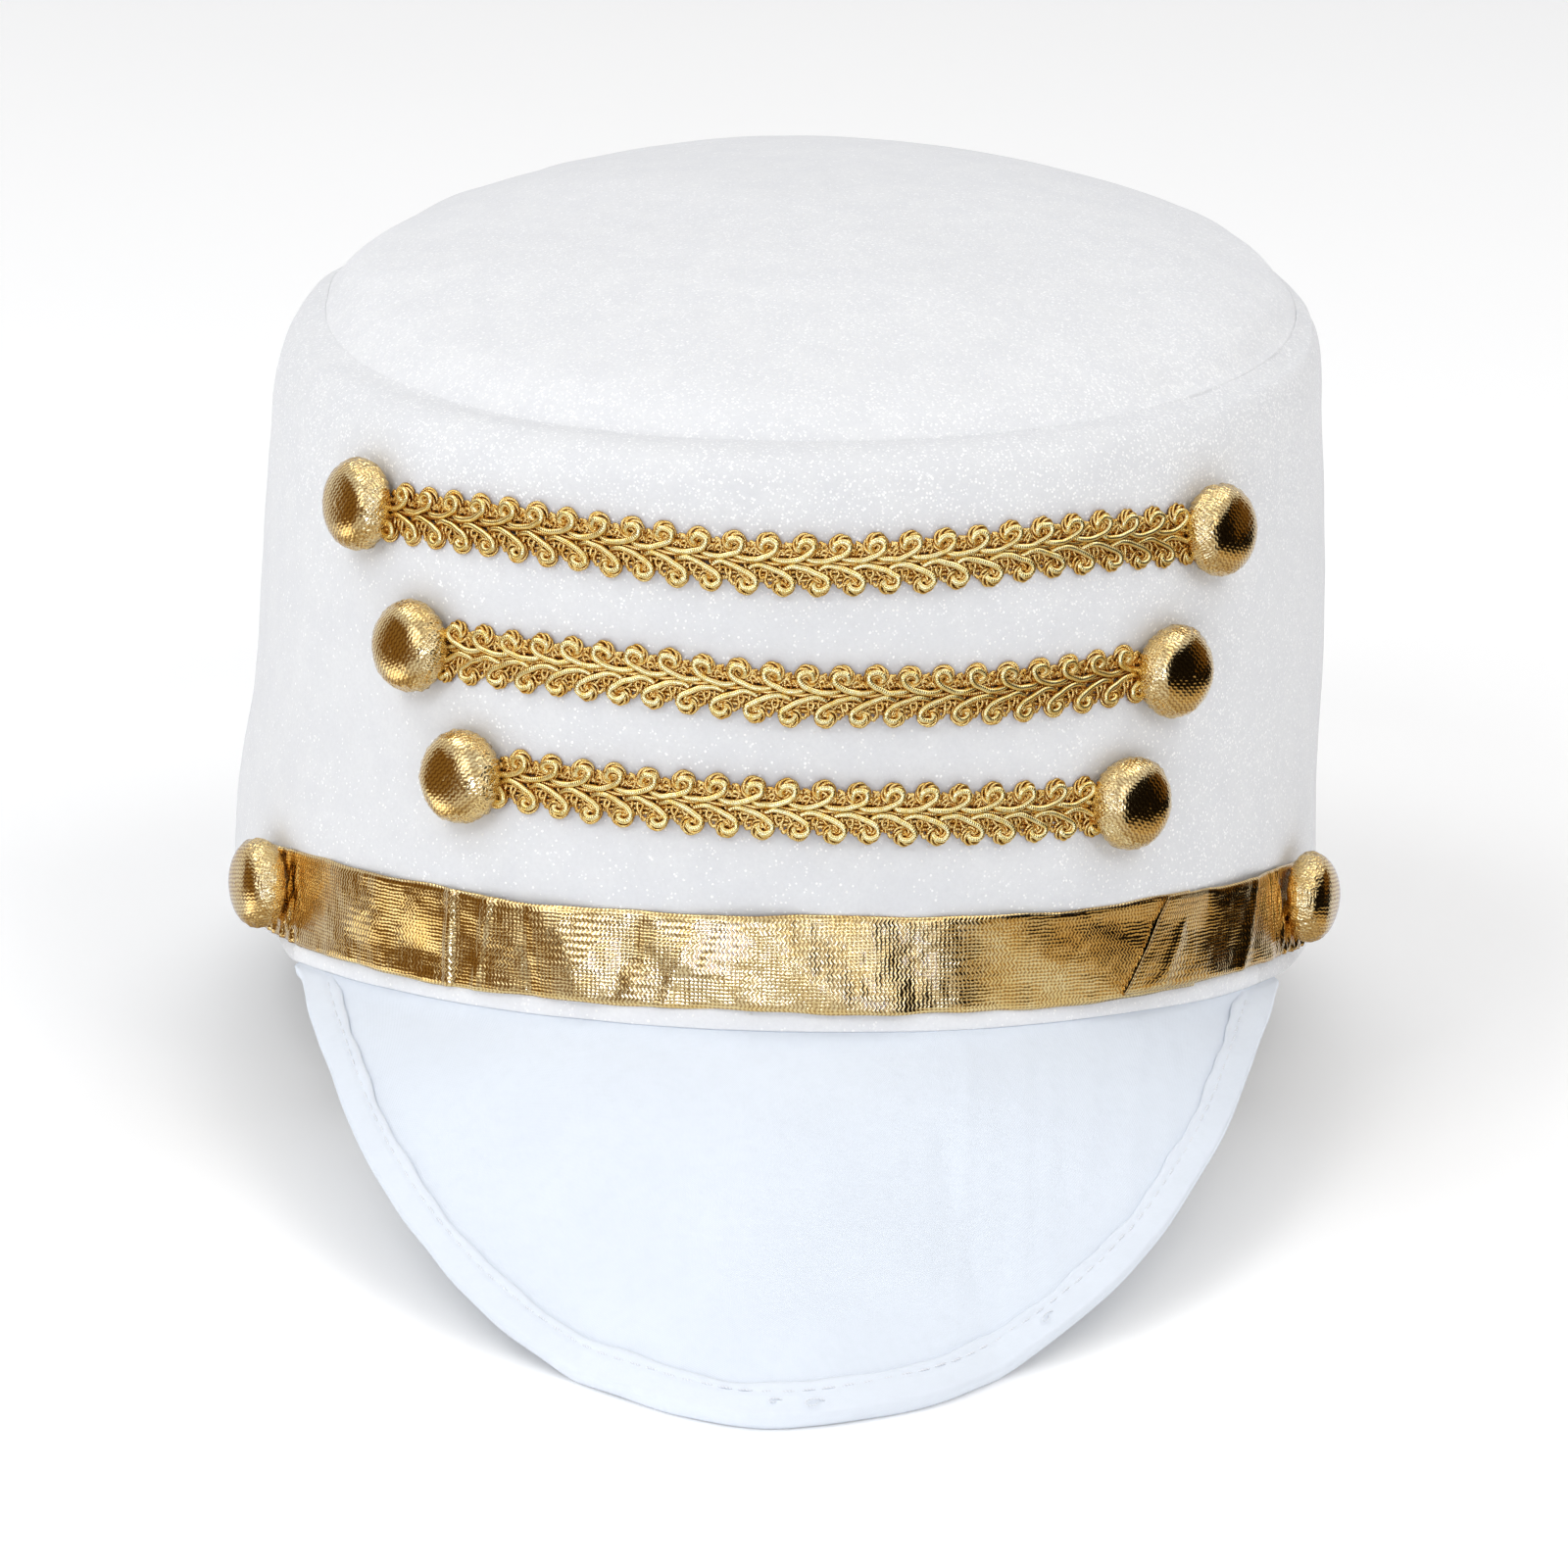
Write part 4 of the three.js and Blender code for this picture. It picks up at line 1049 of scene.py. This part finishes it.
def band_relief(x, v, turn):
    q = np.stack([x, v], -1)
    d = 0.34 * BAND_WAVE(q) + 0.085 * BAND_MID(q) + 0.020 * BAND_FINE(q)
    for at, amp, wide, skew in ((-33.5, 0.50, 0.55, 0.02), (-29.6, 0.36, 0.6, 0.10), (-24.5, -0.20, 0.7, -0.08), (-14.6, -0.22, 0.9, 0.22), (43.5, 0.35, 0.8, 0.10),
                                (-9.0, 0.22, 0.9, 0.25), (11.0, 0.10, 1.2, -0.2), (55.0, 0.35, 0.7, 0.2), (60.5, -0.3, 0.8, -0.1)):
        d = d + amp * np.exp(-((turn - at - skew * (v - 10)) / wide) ** 2)
    gather = smooth((turn - 59.5) / 4) + smooth((-54.5 - turn) / 4)
    d = d + gather * (0.16 + 0.20 * np.sin(x * 1.9 + 0.3 * v) + 0.12 * np.sin(x * 3.3 - 0.9 * v))
    return d


def build_ribbon(t0, t1, lift, low_shift, high_shift, cols, slant):
    ts = np.linspace(t0, t1, cols)
    bottom = band_edge_line(ts, False) + low_shift
    high = band_edge_line(ts, True) + high_shift
    rows = 34
    s = np.linspace(0, 1, rows)
    v = bottom[:, None] + (high - bottom)[:, None] * s[None]
    mid = over_wall(ts, 10.0, 0)
    x = np.concatenate([[0], np.cumsum(np.linalg.norm(np.diff(mid, axis=0), axis=1))]) + t0 * 1.6
    d = band_relief(x[:, None] + 0 * v, v, ts[:, None] + 0 * v)
    round_at = ts[:, None] + slant * (s[None] - 0.5) * (1 - smooth((ts - t0) / 12))[:, None]
    out = 0.98 + lift + np.clip(d, -0.42, 0.9)
    roll = np.minimum(s, 1 - s)[None] * (high - bottom)[:, None]
    out = out - 0.22 * np.exp(-(roll / 0.35) ** 2)
    outer = over_wall(round_at, v, out)
    inner = over_wall(round_at[:, ::-1], v[:, ::-1], out[:, ::-1] - 0.28)
    p = np.concatenate([outer, inner], 1)
    uv = np.concatenate([np.stack([x[:, None] + 0 * v, v], -1), np.stack([x[:, None] + 0 * v, v[:, ::-1]], -1)], 1)
    k = p.shape[1]
    loop = list(range(k))
    faces = np.concatenate([grid_faces(cols, k, False, True), cap(loop, 0, False), cap(loop, (cols - 1) * k, True)])
    return p, faces, uv


def build_band():
    b = Build()
    for t0, t1, lift, lo, hi, cols, slant in ((BAND_FROM, 46.0, 0.0, 0.0, 0.0, 620, 0.0), (39.4, BAND_TO, 0.42, 0.5, -0.1, 190, 6.8)):
        p, f, uv = build_ribbon(t0, t1, lift, lo, hi, cols, slant)
        tri = np.concatenate([f[:, :3], f[f[:, 3] >= 0][:, [0, 2, 3]]])
        pts = p.reshape(-1, 3)
        c = pts.mean(0)
        a0, b0, c0 = pts[tri[:, 0]] - c, pts[tri[:, 1]] - c, pts[tri[:, 2]] - c
        if np.einsum("ij,ij->i", a0, np.cross(b0, c0)).sum() < 0:
            quad = f[:, 3] >= 0
            g = f[:, ::-1].copy()
            g[~quad] = np.concatenate([f[~quad][:, [0, 2, 1]], -np.ones(((~quad).sum(), 1), int)], 1)
            f = g
        b.add(pts, f, uv)
    return b.object("lame_band", LAME_BAND)


band = piece(build_band(), "lame", "gold_band")


# ------------------------------------------------------------------- buttons

PROFILE = [(0, 6.8), (1.8, 6.73), (3.4, 6.5), (4.7, 6.12), (5.75, 5.5), (6.55, 4.65), (7.05, 3.6), (7.15, 2.5), (6.85, 1.5), (6.2, 0.7), (5.4, 0.2), (4.4, 0.0)]


def build_button(name, turn, height, over, rib_angle, seed):
    rng = np.random.default_rng(seed)
    sides = 120
    prof = spline(PROFILE, 46)
    prof = prof[1:]
    ang = np.linspace(0, 2 * np.pi, sides, endpoint=False)
    r, h = prof[:, 0], prof[:, 1]
    arc = np.concatenate([[np.hypot(r[0], 0)], np.cumsum(np.linalg.norm(np.diff(prof, axis=0), axis=1)) + r[0]])
    pl = np.stack([np.broadcast_to(r[None] * np.cos(ang)[:, None], (sides, len(r))),
                   np.broadcast_to(r[None] * np.sin(ang)[:, None], (sides, len(r))),
                   np.broadcast_to(h[None], (sides, len(r)))], -1)
    n = grid_normals(pl, True, False)
    if n[0, 10, 2] < 0:
        n = -n
    # cloth gathered round the edge: pleats that start past the shoulder
    count = rng.integers(30, 38)
    pleat = np.zeros((sides, len(r)))
    for m, a in ((count, 0.10), (count * 2 + 3, 0.055), (count // 2, 0.05), (count + 11, 0.05)):
        pleat += a * np.sin(m * ang + rng.uniform(0, 6))[:, None] * np.ones(len(r))[None]
    rim = smooth((arc - 6.4) / 2.4)[None]
    lumps = waves(30, 2.4, 0.8, 3, seed + 100)(pl)
    d = pleat * rim + 0.055 * lumps * (0.12 + 0.88 * smooth((arc - 5.2) / 2.2)[None]) + 0.05 * waves(10, 12, 6, 3, seed)(pl)
    pl = pl + n * d[..., None]
    # keep the underside flat on the velvet
    pl[..., 2] = np.maximum(pl[..., 2], 0.0)
    top_point = np.array([[0, 0, 6.92]])
    low_point = np.array([[0, 0, 0.0]])
    pts = np.concatenate([pl.reshape(-1, 3), top_point, low_point])
    k = len(r)
    f = grid_faces(sides, k, True, False)
    i = np.arange(sides)
    i2 = (i + 1) % sides
    none = -np.ones(sides, int)
    f = np.concatenate([f, np.stack([np.full(sides, sides * k), i * k, i2 * k, none], 1),
                        np.stack([np.full(sides, sides * k + 1), i2 * k + k - 1, i * k + k - 1, none], 1)])
    ca, sa = math.cos(math.radians(rib_angle)), math.sin(math.radians(rib_angle))
    ux = arc[None] * np.cos(ang)[:, None]
    uy = arc[None] * np.sin(ang)[:, None]
    uv = np.stack([ux * ca + uy * sa, -ux * sa + uy * ca], -1).reshape(-1, 2)
    uv = np.concatenate([uv, [[0, 0], [12, 12]]]) + rng.uniform(-40, 40, 2)
    nrm = wall_normal(turn, height)
    side = np.cross([0, 0, 1.0], nrm)
    side /= np.linalg.norm(side)
    upv = np.cross(nrm, side)
    seat = over_wall(turn, height, 0) + nrm * (0.3 + (over + 0.15 if over else 0.1) - 0.25)
    world = seat + pts[:, :1] * side + pts[:, 1:2] * upv + pts[:, 2:] * nrm
    tri = np.concatenate([f[:, :3], f[f[:, 3] >= 0][:, [0, 2, 3]]])
    w = world - world.mean(0)
    ragged = arc[None, :-1] + 0.35 * np.sin(7 * ang)[:, None] + 0.25 * np.sin(17 * ang + seed)[:, None]
    which = np.concatenate([(ragged > 6.3).astype(int).ravel(), np.zeros(sides, int), np.ones(sides, int)])
    return mesh_object(name + "_lame", world, f, [LAME_BUTTON, LAME_RIM], uv, which)


RIBS = {"button_top_left": -38, "button_middle_left": -32, "button_bottom_left": -48, "button_band_left": -80,
        "button_top_right": 42, "button_middle_right": 50, "button_bottom_right": 38, "button_band_right": 85}
for i, (name, (t, h, over)) in enumerate(BUTTONS.items()):
    piece(build_button(name, t, h, over, RIBS[name], 60 + i), "lame", name)


# ------------------------------------------------------------- gimp braids

TOP_LEG = [(-5.6, 1.35, 0.75), (-5.0, 0.85, 0.95), (-4.2, 0.50, 1.15), (-3.1, 0.36, 1.25), (-1.9, 0.46, 1.32),
           (-0.7, 0.84, 1.42), (0.35, 1.34, 1.55), (1.08, 2.0, 1.66), (1.28, 2.72, 1.68), (0.92, 3.28, 1.64),
           (0.2, 3.48, 1.58), (-0.58, 3.26, 1.5), (-1.02, 2.66, 1.36), (-0.9, 2.05, 1.1), (-0.45, 1.75, 0.8)]
LOW_LEG = [(-5.4, -1.15, 0.75), (-4.8, -0.66, 0.95), (-4.0, -0.38, 1.15), (-3.0, -0.42, 1.27), (-1.8, -0.80, 1.34),
           (-0.6, -1.30, 1.44), (0.55, -1.88, 1.54), (1.25, -2.45, 1.6), (1.45, -3.1, 1.6), (1.1, -3.7, 1.56),
           (0.4, -3.98, 1.5), (-0.38, -3.82, 1.4), (-0.8, -3.25, 1.2), (-0.5, -2.85, 0.85)]


def rope_ring(b, cu, cv, big, small, strand, count, twist, start, sweep_deg, rng, lift=0.86):
    """A small loop of twisted strands."""
    n = 30
    phi = np.radians(start + np.linspace(0, sweep_deg, n))
    for j in range(count):
        th = 2 * np.pi * j / count + twist * (phi - phi[0]) + rng.uniform(-0.12, 0.12)
        rr = big + small * np.cos(th)
        path = np.stack([cu + rr * np.cos(phi), cv + rr * np.sin(phi), lift + small * 0.92 * np.sin(th)], 1)
        # the loop's two ends dive under the spine
        fade = np.clip(np.minimum(np.arange(n), n - 1 - np.arange(n)) / 4.0, 0, 1)
        path[:, 2] -= (1 - fade) * 0.35
        sweep(b, path, strand * (0.75 + 0.25 * fade), 5, wrap=0.34, material=1)


def build_braid(name):
    left, right, way, rows = BRAIDS[name]
    line = braid_line[name]
    t0, t1 = BUTTONS[left][0], BUTTONS[right][0]
    fine = np.linspace(t0, t1, 1500)
    mid = over_wall(fine, line(fine), 1.0)
    arc = np.concatenate([[0], np.cumsum(np.linalg.norm(np.diff(mid, axis=0), axis=1))])
    start, end = 5.9, arc[-1] - 5.9
    total = end - start
    units = int(round(total / 5.27))
    pitch = total / units
    rng = np.random.default_rng(sum(map(ord, name)))
    b = Build()
    for i in range(-1, units + 1):
        u0 = (i + 0.62) * pitch
        ju, jv, jr = rng.normal(0, 0.09), rng.normal(0, 0.08), rng.normal(0, 0.03)
        grow = 1 + jr

        def keep(path):
            """Ends the cords inside the button's edge."""
            inside = (path[:, 0] > -0.8) & (path[:, 0] < total + 0.8)
            return path[inside] if inside.sum() > 3 else None
        if -0.6 < u0 < total + 0.6:
            rope_ring(b, u0 + ju, 2.62 + jv, 1.16 * grow, 0.60, 0.265, 5, 1.25 + rng.normal(0, .12), -100 + rng.normal(0, 12), 372, rng)
        ku, kv, kr = rng.normal(0, 0.09), rng.normal(0, 0.08), rng.normal(0, 0.03)
        u1 = u0 + 2.15
        if -0.6 < u1 < total + 0.6:
            rope_ring(b, u1 + ku, -3.22 + kv, 1.08 * (1 + kr), 0.57, 0.255, 5, -1.2 + rng.normal(0, .12), 100 + rng.normal(0, 12), -372, rng)
        for ctrl, uu, dv, thick in ((TOP_LEG, u0 + ju, jv, 0.49), (LOW_LEG, u1 + ku, kv, 0.48)):
            c = np.array(ctrl)
            c = c + np.concatenate([rng.normal(0, 0.05, (len(c), 2)), rng.normal(0, 0.025, (len(c), 1))], 1)
            path = spline(c, 36)
            path[:, 0] += uu
            path[:, 1] += dv * smooth(np.abs(path[:, 1]) / 2)
            path = keep(path)
            if path is not None:
                sweep(b, path, thick * (1 + rng.normal(0, 0.03)), 8, wrap=0.36, material=0)
        # the yarns between, that tie the loops to the spine, in the darker copy with painted shade
        for c in ([(-2.6, 0.1, 0.55), (-2.2, 1.0, 0.75), (-1.9, 1.9, 0.8), (-2.4, 2.7, 0.85), (-3.0, 3.0, 0.7)],
                  [(-1.4, 0.2, 0.6), (-0.9, 1.0, 0.8), (-0.2, 1.6, 0.95), (0.5, 2.2, 0.95), (0.3, 2.9, 0.85)],
                  [(-1.0, 2.0, 0.7), (-0.4, 2.9, 1.15), (0.5, 2.6, 1.2), (0.7, 1.9, 1.05), (1.6, 1.2, 0.7)],
                  [(-2.9, 2.3, 0.8), (-2.5, 2.9, 0.95), (-2.0, 2.6, 0.9)],
                  [(1.5, -0.3, 0.55), (2.0, -1.2, 0.75), (2.2, -2.0, 0.85), (1.9, -2.8, 0.85), (2.3, -3.3, 0.75)],
                  [(-0.6, -0.6, 0.6), (-0.3, -1.5, 0.8), (-0.6, -2.4, 0.85), (-0.5, -3.2, 0.75)],
                  [(0.2, -0.9, 0.6), (0.8, -1.9, 0.9), (1.7, -2.5, 0.95), (2.4, -2.9, 1.0), (2.9, -3.4, 0.95)],
                  [(-0.3, -3.0, 0.8), (0.0, -3.5, 0.95), (0.6, -3.2, 0.9)],
                  [(-0.5, 2.3, 0.9), (0.0, 2.85, 1.15), (0.5, 2.4, 1.0)],
                  [(1.7, -3.5, 0.8), (2.15, -3.0, 1.05), (2.6, -3.4, 0.9)],
                  [(-3.1, 0.9, 0.55), (-2.8, 1.7, 0.8), (-2.2, 2.1, 0.9), (-1.7, 1.6, 0.8)],
                  [(1.0, 0.7, 0.6), (1.4, 1.4, 0.85), (1.9, 1.9, 0.85), (2.2, 1.2, 0.7)],
                  [(-0.9, -0.7, 0.6), (-1.3, -1.5, 0.8), (-1.0, -2.3, 0.9), (-0.4, -2.0, 0.8)],
                  [(3.0, -0.7, 0.6), (3.3, -1.5, 0.85), (3.0, -2.2, 0.9)]):
            c = np.array(c) + rng.normal(0, 0.09, (len(c), 3)) * (1, 1, 0.4)
            path = spline(c, 11)
            path[:, 0] += u0
            path = keep(path)
            if path is not None:
                sweep(b, path, 0.30, 5, wrap=0.3, material=1)
    # the core: three cords that run the whole length
    for v, w, r in ((0.0, 0.62, 0.52), (1.15, 0.55, 0.34), (-1.35, 0.55, 0.34), (1.75, 0.42, 0.26), (-2.0, 0.42, 0.26), (2.35, 0.26, 0.38), (-2.7, 0.26, 0.38)):
        n = units * 8
        u = np.linspace(-0.6, total + 0.6, n)
        path = np.stack([u, v + 0.16 * np.sin(u * 2 * np.pi / pitch + v), np.full(n, w)], 1)
        sweep(b, path, r, 7, wrap=0.36, material=1)

    def place(p):
        u = p[:, 0] if way > 0 else total - p[:, 0]
        turn = np.interp(start + u, arc, fine)
        return over_wall(turn, line(turn) + p[:, 1], p[:, 2] + 0.02)
    if way < 0:
        b.f = [np.where(f[:, 3:] >= 0, f[:, [3, 2, 1, 0]], np.concatenate([f[:, [0, 2, 1]], f[:, 3:]], 1)) for f in b.f]
    return b.object(name + "_gimp", [GIMP, GIMP_SHADED], place)


for name in BRAIDS:
    piece(build_braid(name), "gimp", name)


# -------------------------------------------------------------------- studio

def build_floor():
    n = 41
    s = np.linspace(-1, 1, n)
    s = np.sign(s) * np.abs(s) ** 1.6 * 1.8
    x, y = np.meshgrid(s, s, indexing="ij")
    p = np.stack([x, y, np.zeros_like(x)], -1)
    return mesh_object("studio_floor", p, grid_faces(n, n)[:, ::-1], floor_material(), closed=False, in_row=True)


floor = build_floor()


def area_light(name, at, to, size, power, colour=(1, 1, 1), size_y=None):
    data = bpy.data.lights.new(name, "AREA")
    data.shape = "RECTANGLE"
    data.size = size
    data.size_y = size_y or size
    data.energy = power
    data.color = colour
    obj = bpy.data.objects.new(name, data)
    bpy.context.scene.collection.objects.link(obj)
    obj.location = at
    way = Vector(to) - Vector(at)
    obj.rotation_mode = "QUATERNION"
    obj.rotation_quaternion = way.to_track_quat("-Z", "Y")
    return obj


def sky(az, el):
    a, e = math.radians(az), math.radians(el)
    return (math.sin(a) * math.cos(e), -math.cos(a) * math.cos(e), math.sin(e))


WARM, COOL, ICE = (1.0, 0.985, 0.965), (0.975, 0.988, 1.0), (0.47, 0.62, 1.12)


def softbox(name, az, el, dist, wide, high, radiance, colour=(1, 1, 1)):
    """A soft light out at an azimuth and elevation, turned to the hat."""
    at = Vector(sky(az, el)) * dist + Vector((0, 0.03, 0.06))
    light = area_light(name, at, (0, 0.03, 0.06), wide, radiance * math.pi * wide * high, colour, high)
    light.visible_camera = False
    return light


for plain in (softbox("key_left", -46, 40, 2.1, 0.9, 0.9, 3.85, COOL), softbox("key_right", 44, 38, 2.1, 0.9, 0.9, 3.2, WARM),
              softbox("front_left", -18, 3, 1.9, 0.55, 0.42, 6.8), softbox("front_right", 15, 2, 1.9, 0.14, 0.5, 6.5),
              softbox("strip_right", 25, 1, 1.9, 0.14, 0.5, 6.5), softbox("strip_left", -49, 6, 1.9, 0.16, 1.2, 4.0)):
    plain.visible_glossy = False
softbox("overhead", 180, 74, 1.7, 1.2, 1.2, 0.4, WARM)
for side_fill in (softbox("side_left", -100, 12, 1.9, 1.0, 1.0, 1.4, COOL), softbox("side_right", 100, 14, 1.9, 1.0, 1.0, 1.85, WARM)):
    side_fill.visible_glossy = False
softbox("wash_left", -95, 58, 1.8, 0.8, 0.8, 2.9, COOL)
softbox("wash_right", 95, 60, 1.8, 0.8, 0.8, 2.5, WARM)
for shine in (softbox("shine_middle", -15, 2, 1.9, 0.60, 0.26, 11.0, ICE), softbox("shine_right", 11, 2, 1.9, 0.14, 0.22, 14.0, ICE),
              softbox("shine_far", 24, 2, 1.9, 0.12, 0.22, 12.5, ICE)):
    shine.visible_diffuse = False
floor.visible_glossy = False


def build_world():
    world = bpy.data.worlds.new("studio")
    bpy.context.scene.world = world
    world.use_nodes = True
    nt = world.node_tree
    nt.nodes.clear()
    out = nt.nodes.new("ShaderNodeOutputWorld")
    way = nt.nodes.new("ShaderNodeTexCoord").outputs["Generated"]

    def link(a, b):
        nt.links.new(a, b)

    def patch(direction, up, half_w, half_h, soft):
        """1 inside a soft-edged square of the sky, 0 outside."""
        d = Vector(direction).normalized()
        r = d.cross(Vector((0, 0, 1))).normalized()
        u = r.cross(d).normalized()

        def dot(v):
            n = nt.nodes.new("ShaderNodeVectorMath")
            n.operation = "DOT_PRODUCT"
            link(way, n.inputs[0])
            n.inputs[1].default_value = v
            return n.outputs["Value"]

        def step(value, edge):
            n = nt.nodes.new("ShaderNodeMath")
            n.operation = "ABSOLUTE"
            link(value, n.inputs[0])
            m = nt.nodes.new("ShaderNodeMapRange")
            m.interpolation_type = "SMOOTHSTEP"
            link(n.outputs[0], m.inputs["Value"])
            m.inputs["From Min"].default_value = edge + soft
            m.inputs["From Max"].default_value = edge - soft
            return m.outputs["Result"]
        a, b = step(dot(r), math.sin(half_w)), step(dot(u), math.sin(half_h))
        ahead = nt.nodes.new("ShaderNodeMath")
        ahead.operation = "GREATER_THAN"
        link(dot(d), ahead.inputs[0])
        ahead.inputs[1].default_value = 0.0
        m = nt.nodes.new("ShaderNodeMath")
        m.operation = "MULTIPLY"
        link(a, m.inputs[0])
        link(b, m.inputs[1])
        m2 = nt.nodes.new("ShaderNodeMath")
        m2.operation = "MULTIPLY"
        link(m.outputs[0], m2.inputs[0])
        link(ahead.outputs[0], m2.inputs[1])
        return m2.outputs[0]

    def mix(fac, a, b):
        n = nt.nodes.new("ShaderNodeMix")
        n.data_type = "RGBA"
        link(fac, n.inputs["Factor"])
        for s, v in zip((n.inputs[6], n.inputs[7]), (a, b)):
            if isinstance(v, tuple):
                s.default_value = (*v, 1.0)
            else:
                link(v, s)
        return n.outputs[2]

    rad = math.radians
    split = nt.nodes.new("ShaderNodeSeparateXYZ")
    link(way, split.inputs[0])

    def band_of(lo, hi):
        m = nt.nodes.new("ShaderNodeMapRange")
        m.interpolation_type = "SMOOTHSTEP"
        link(split.outputs[2], m.inputs["Value"])
        m.inputs["From Min"].default_value = lo
        m.inputs["From Max"].default_value = hi
        return m.outputs["Result"]

    grey = nt.nodes.new("ShaderNodeRGB")
    grey.outputs[0].default_value = (0.52, 0.52, 0.525, 1)
    colour = mix(band_of(0.66, 0.80), grey.outputs[0], (0.92, 0.925, 0.94))        # ceiling
    colour = mix(band_of(-0.60, -0.80), colour, (0.86, 0.85, 0.84))                # white table, right under
    colour = mix(patch(sky(-86, 2), None, rad(10), rad(12), 0.05), colour, (0.85, 0.85, 0.84))
    colour = mix(patch(sky(-65, -2), None, rad(8), rad(22), 0.03), colour, (0.12, 0.11, 0.09))
    colour = mix(patch(sky(-40, 0), None, rad(3), rad(20), 0.02), colour, (0.03, 0.03, 0.02))
    colour = mix(patch(sky(-124, 6), None, rad(20), rad(28), 0.08), colour, (0.30, 0.22, 0.13))
    colour = mix(patch(sky(94, 12), None, rad(36), rad(30), 0.03), colour, (0.008, 0.007, 0.006))
    colour = mix(patch(sky(96, -8), None, rad(36), rad(9), 0.05), colour, (0.10, 0.06, 0.025))
    colour = mix(patch(sky(0, 26), None, rad(22), rad(9), 0.06), colour, (0.05, 0.05, 0.05))
    # what shines in the gold: a white tent with a dark gap at the right
    tent = nt.nodes.new("ShaderNodeRGB")
    tent.outputs[0].default_value = (0.69, 0.725, 0.85, 1)
    gloss = mix(band_of(-0.45, -0.75), tent.outputs[0], (0.46, 0.38, 0.27))
    gloss = mix(patch(sky(-86, -32), None, rad(15), rad(13), 0.03), gloss, (1.7, 1.65, 1.5))
    gloss = mix(patch(sky(-42, 25), None, rad(14), rad(16), 0.05), gloss, (2.0, 2.15, 2.6))
    gloss = mix(patch(sky(32, 27), None, rad(10), rad(15), 0.04), gloss, (1.9, 2.0, 2.3))
    gloss = mix(patch(sky(-84, 2), None, rad(26), rad(21), 0.07), gloss, (0.21, 0.12, 0.035))
    gloss = mix(patch(sky(-46, -3), None, rad(11), rad(7), 0.05), gloss, (0.25, 0.16, 0.065))
    gloss = mix(patch(sky(-31, 0), None, rad(3.2), rad(14), 0.02), gloss, (0.06, 0.04, 0.02))
    gloss = mix(patch(sky(78, -28), None, rad(34), rad(10), 0.06), gloss, (0.56, 0.44, 0.27))
    gloss = mix(patch(sky(117, -13), None, rad(9), rad(7), 0.03), gloss, (0.02, 0.012, 0.005))
    gloss = mix(patch(sky(80, 3), None, rad(42), rad(23), 0.025), gloss, (0.008, 0.006, 0.004))
    gloss = mix(patch(sky(112, 9), None, rad(15), rad(14), 0.04), gloss, (0.15, 0.08, 0.02))
    back = nt.nodes.new("ShaderNodeBackground")
    shade = nt.nodes.new("ShaderNodeMix")
    shade.data_type = "RGBA"
    shade.inputs[7].default_value = (0.66, 0.66, 0.66, 1)
    shade.blend_type = "MULTIPLY"
    shade.inputs["Factor"].default_value = 1.0
    link(colour, shade.inputs[6])
    shines = nt.nodes.new("ShaderNodeLightPath").outputs["Is Glossy Ray"]
    link(shade.outputs[2], back.inputs["Color"])
    bright = nt.nodes.new("ShaderNodeBackground")
    link(gloss, bright.inputs["Color"])
    either = nt.nodes.new("ShaderNodeMixShader")
    link(shines, either.inputs[0])
    link(back.outputs[0], either.inputs[1])
    link(bright.outputs[0], either.inputs[2])
    seen = nt.nodes.new("ShaderNodeBackground")
    seen.inputs["Color"].default_value = (0.90, 0.90, 0.90, 1)
    ray = nt.nodes.new("ShaderNodeLightPath").outputs["Is Camera Ray"]
    pick = nt.nodes.new("ShaderNodeMixShader")
    link(ray, pick.inputs[0])
    link(either.outputs[0], pick.inputs[1])
    link(seen.outputs[0], pick.inputs[2])
    link(pick.outputs[0], out.inputs["Surface"])


build_world()
bpy.context.scene.view_settings.view_transform = "Standard"
bpy.context.scene.view_settings.look = "None"
bpy.context.scene.view_settings.exposure = 0.0
bpy.context.scene.view_settings.gamma = 1.0

# -------------------------------------------------------------------- camera

ELEVATION, ROLL = math.radians(10.61), math.radians(1.47)
FOCAL = 6079.0                                   # in pixels of a 1600 frame
AIM_X, AIM_Y = 5.53, 131.6                       # the frame's centre, from the fitted axis
fw = np.array([0, math.cos(ELEVATION), -math.sin(ELEVATION)])
rt = np.array([1.0, 0, 0])
up = np.array([0, math.sin(ELEVATION), math.cos(ELEVATION)])
look = fw * FOCAL + rt * AIM_X + up * AIM_Y
look /= np.linalg.norm(look)
ex = math.cos(ROLL) * rt + math.sin(ROLL) * up
right = ex - (ex @ look) * look
right /= np.linalg.norm(right)
over = np.cross(right, look)
R, U, F = turn_vector(right), turn_vector(over), turn_vector(look)
cam_data = bpy.data.cameras.new("camera")
cam = bpy.data.objects.new("camera", cam_data)
bpy.context.scene.collection.objects.link(cam)
cam.matrix_world = Matrix(((R[0], U[0], -F[0], -0.00052), (R[1], U[1], -F[1], -0.908677),
                           (R[2], U[2], -F[2], 0.364078), (0, 0, 0, 1)))
cam_data.sensor_fit = "HORIZONTAL"
cam_data.sensor_width = 36.0
cam_data.lens = 136.82
cam_data.clip_start, cam_data.clip_end = 0.05, 30.0
bpy.context.scene.camera = cam
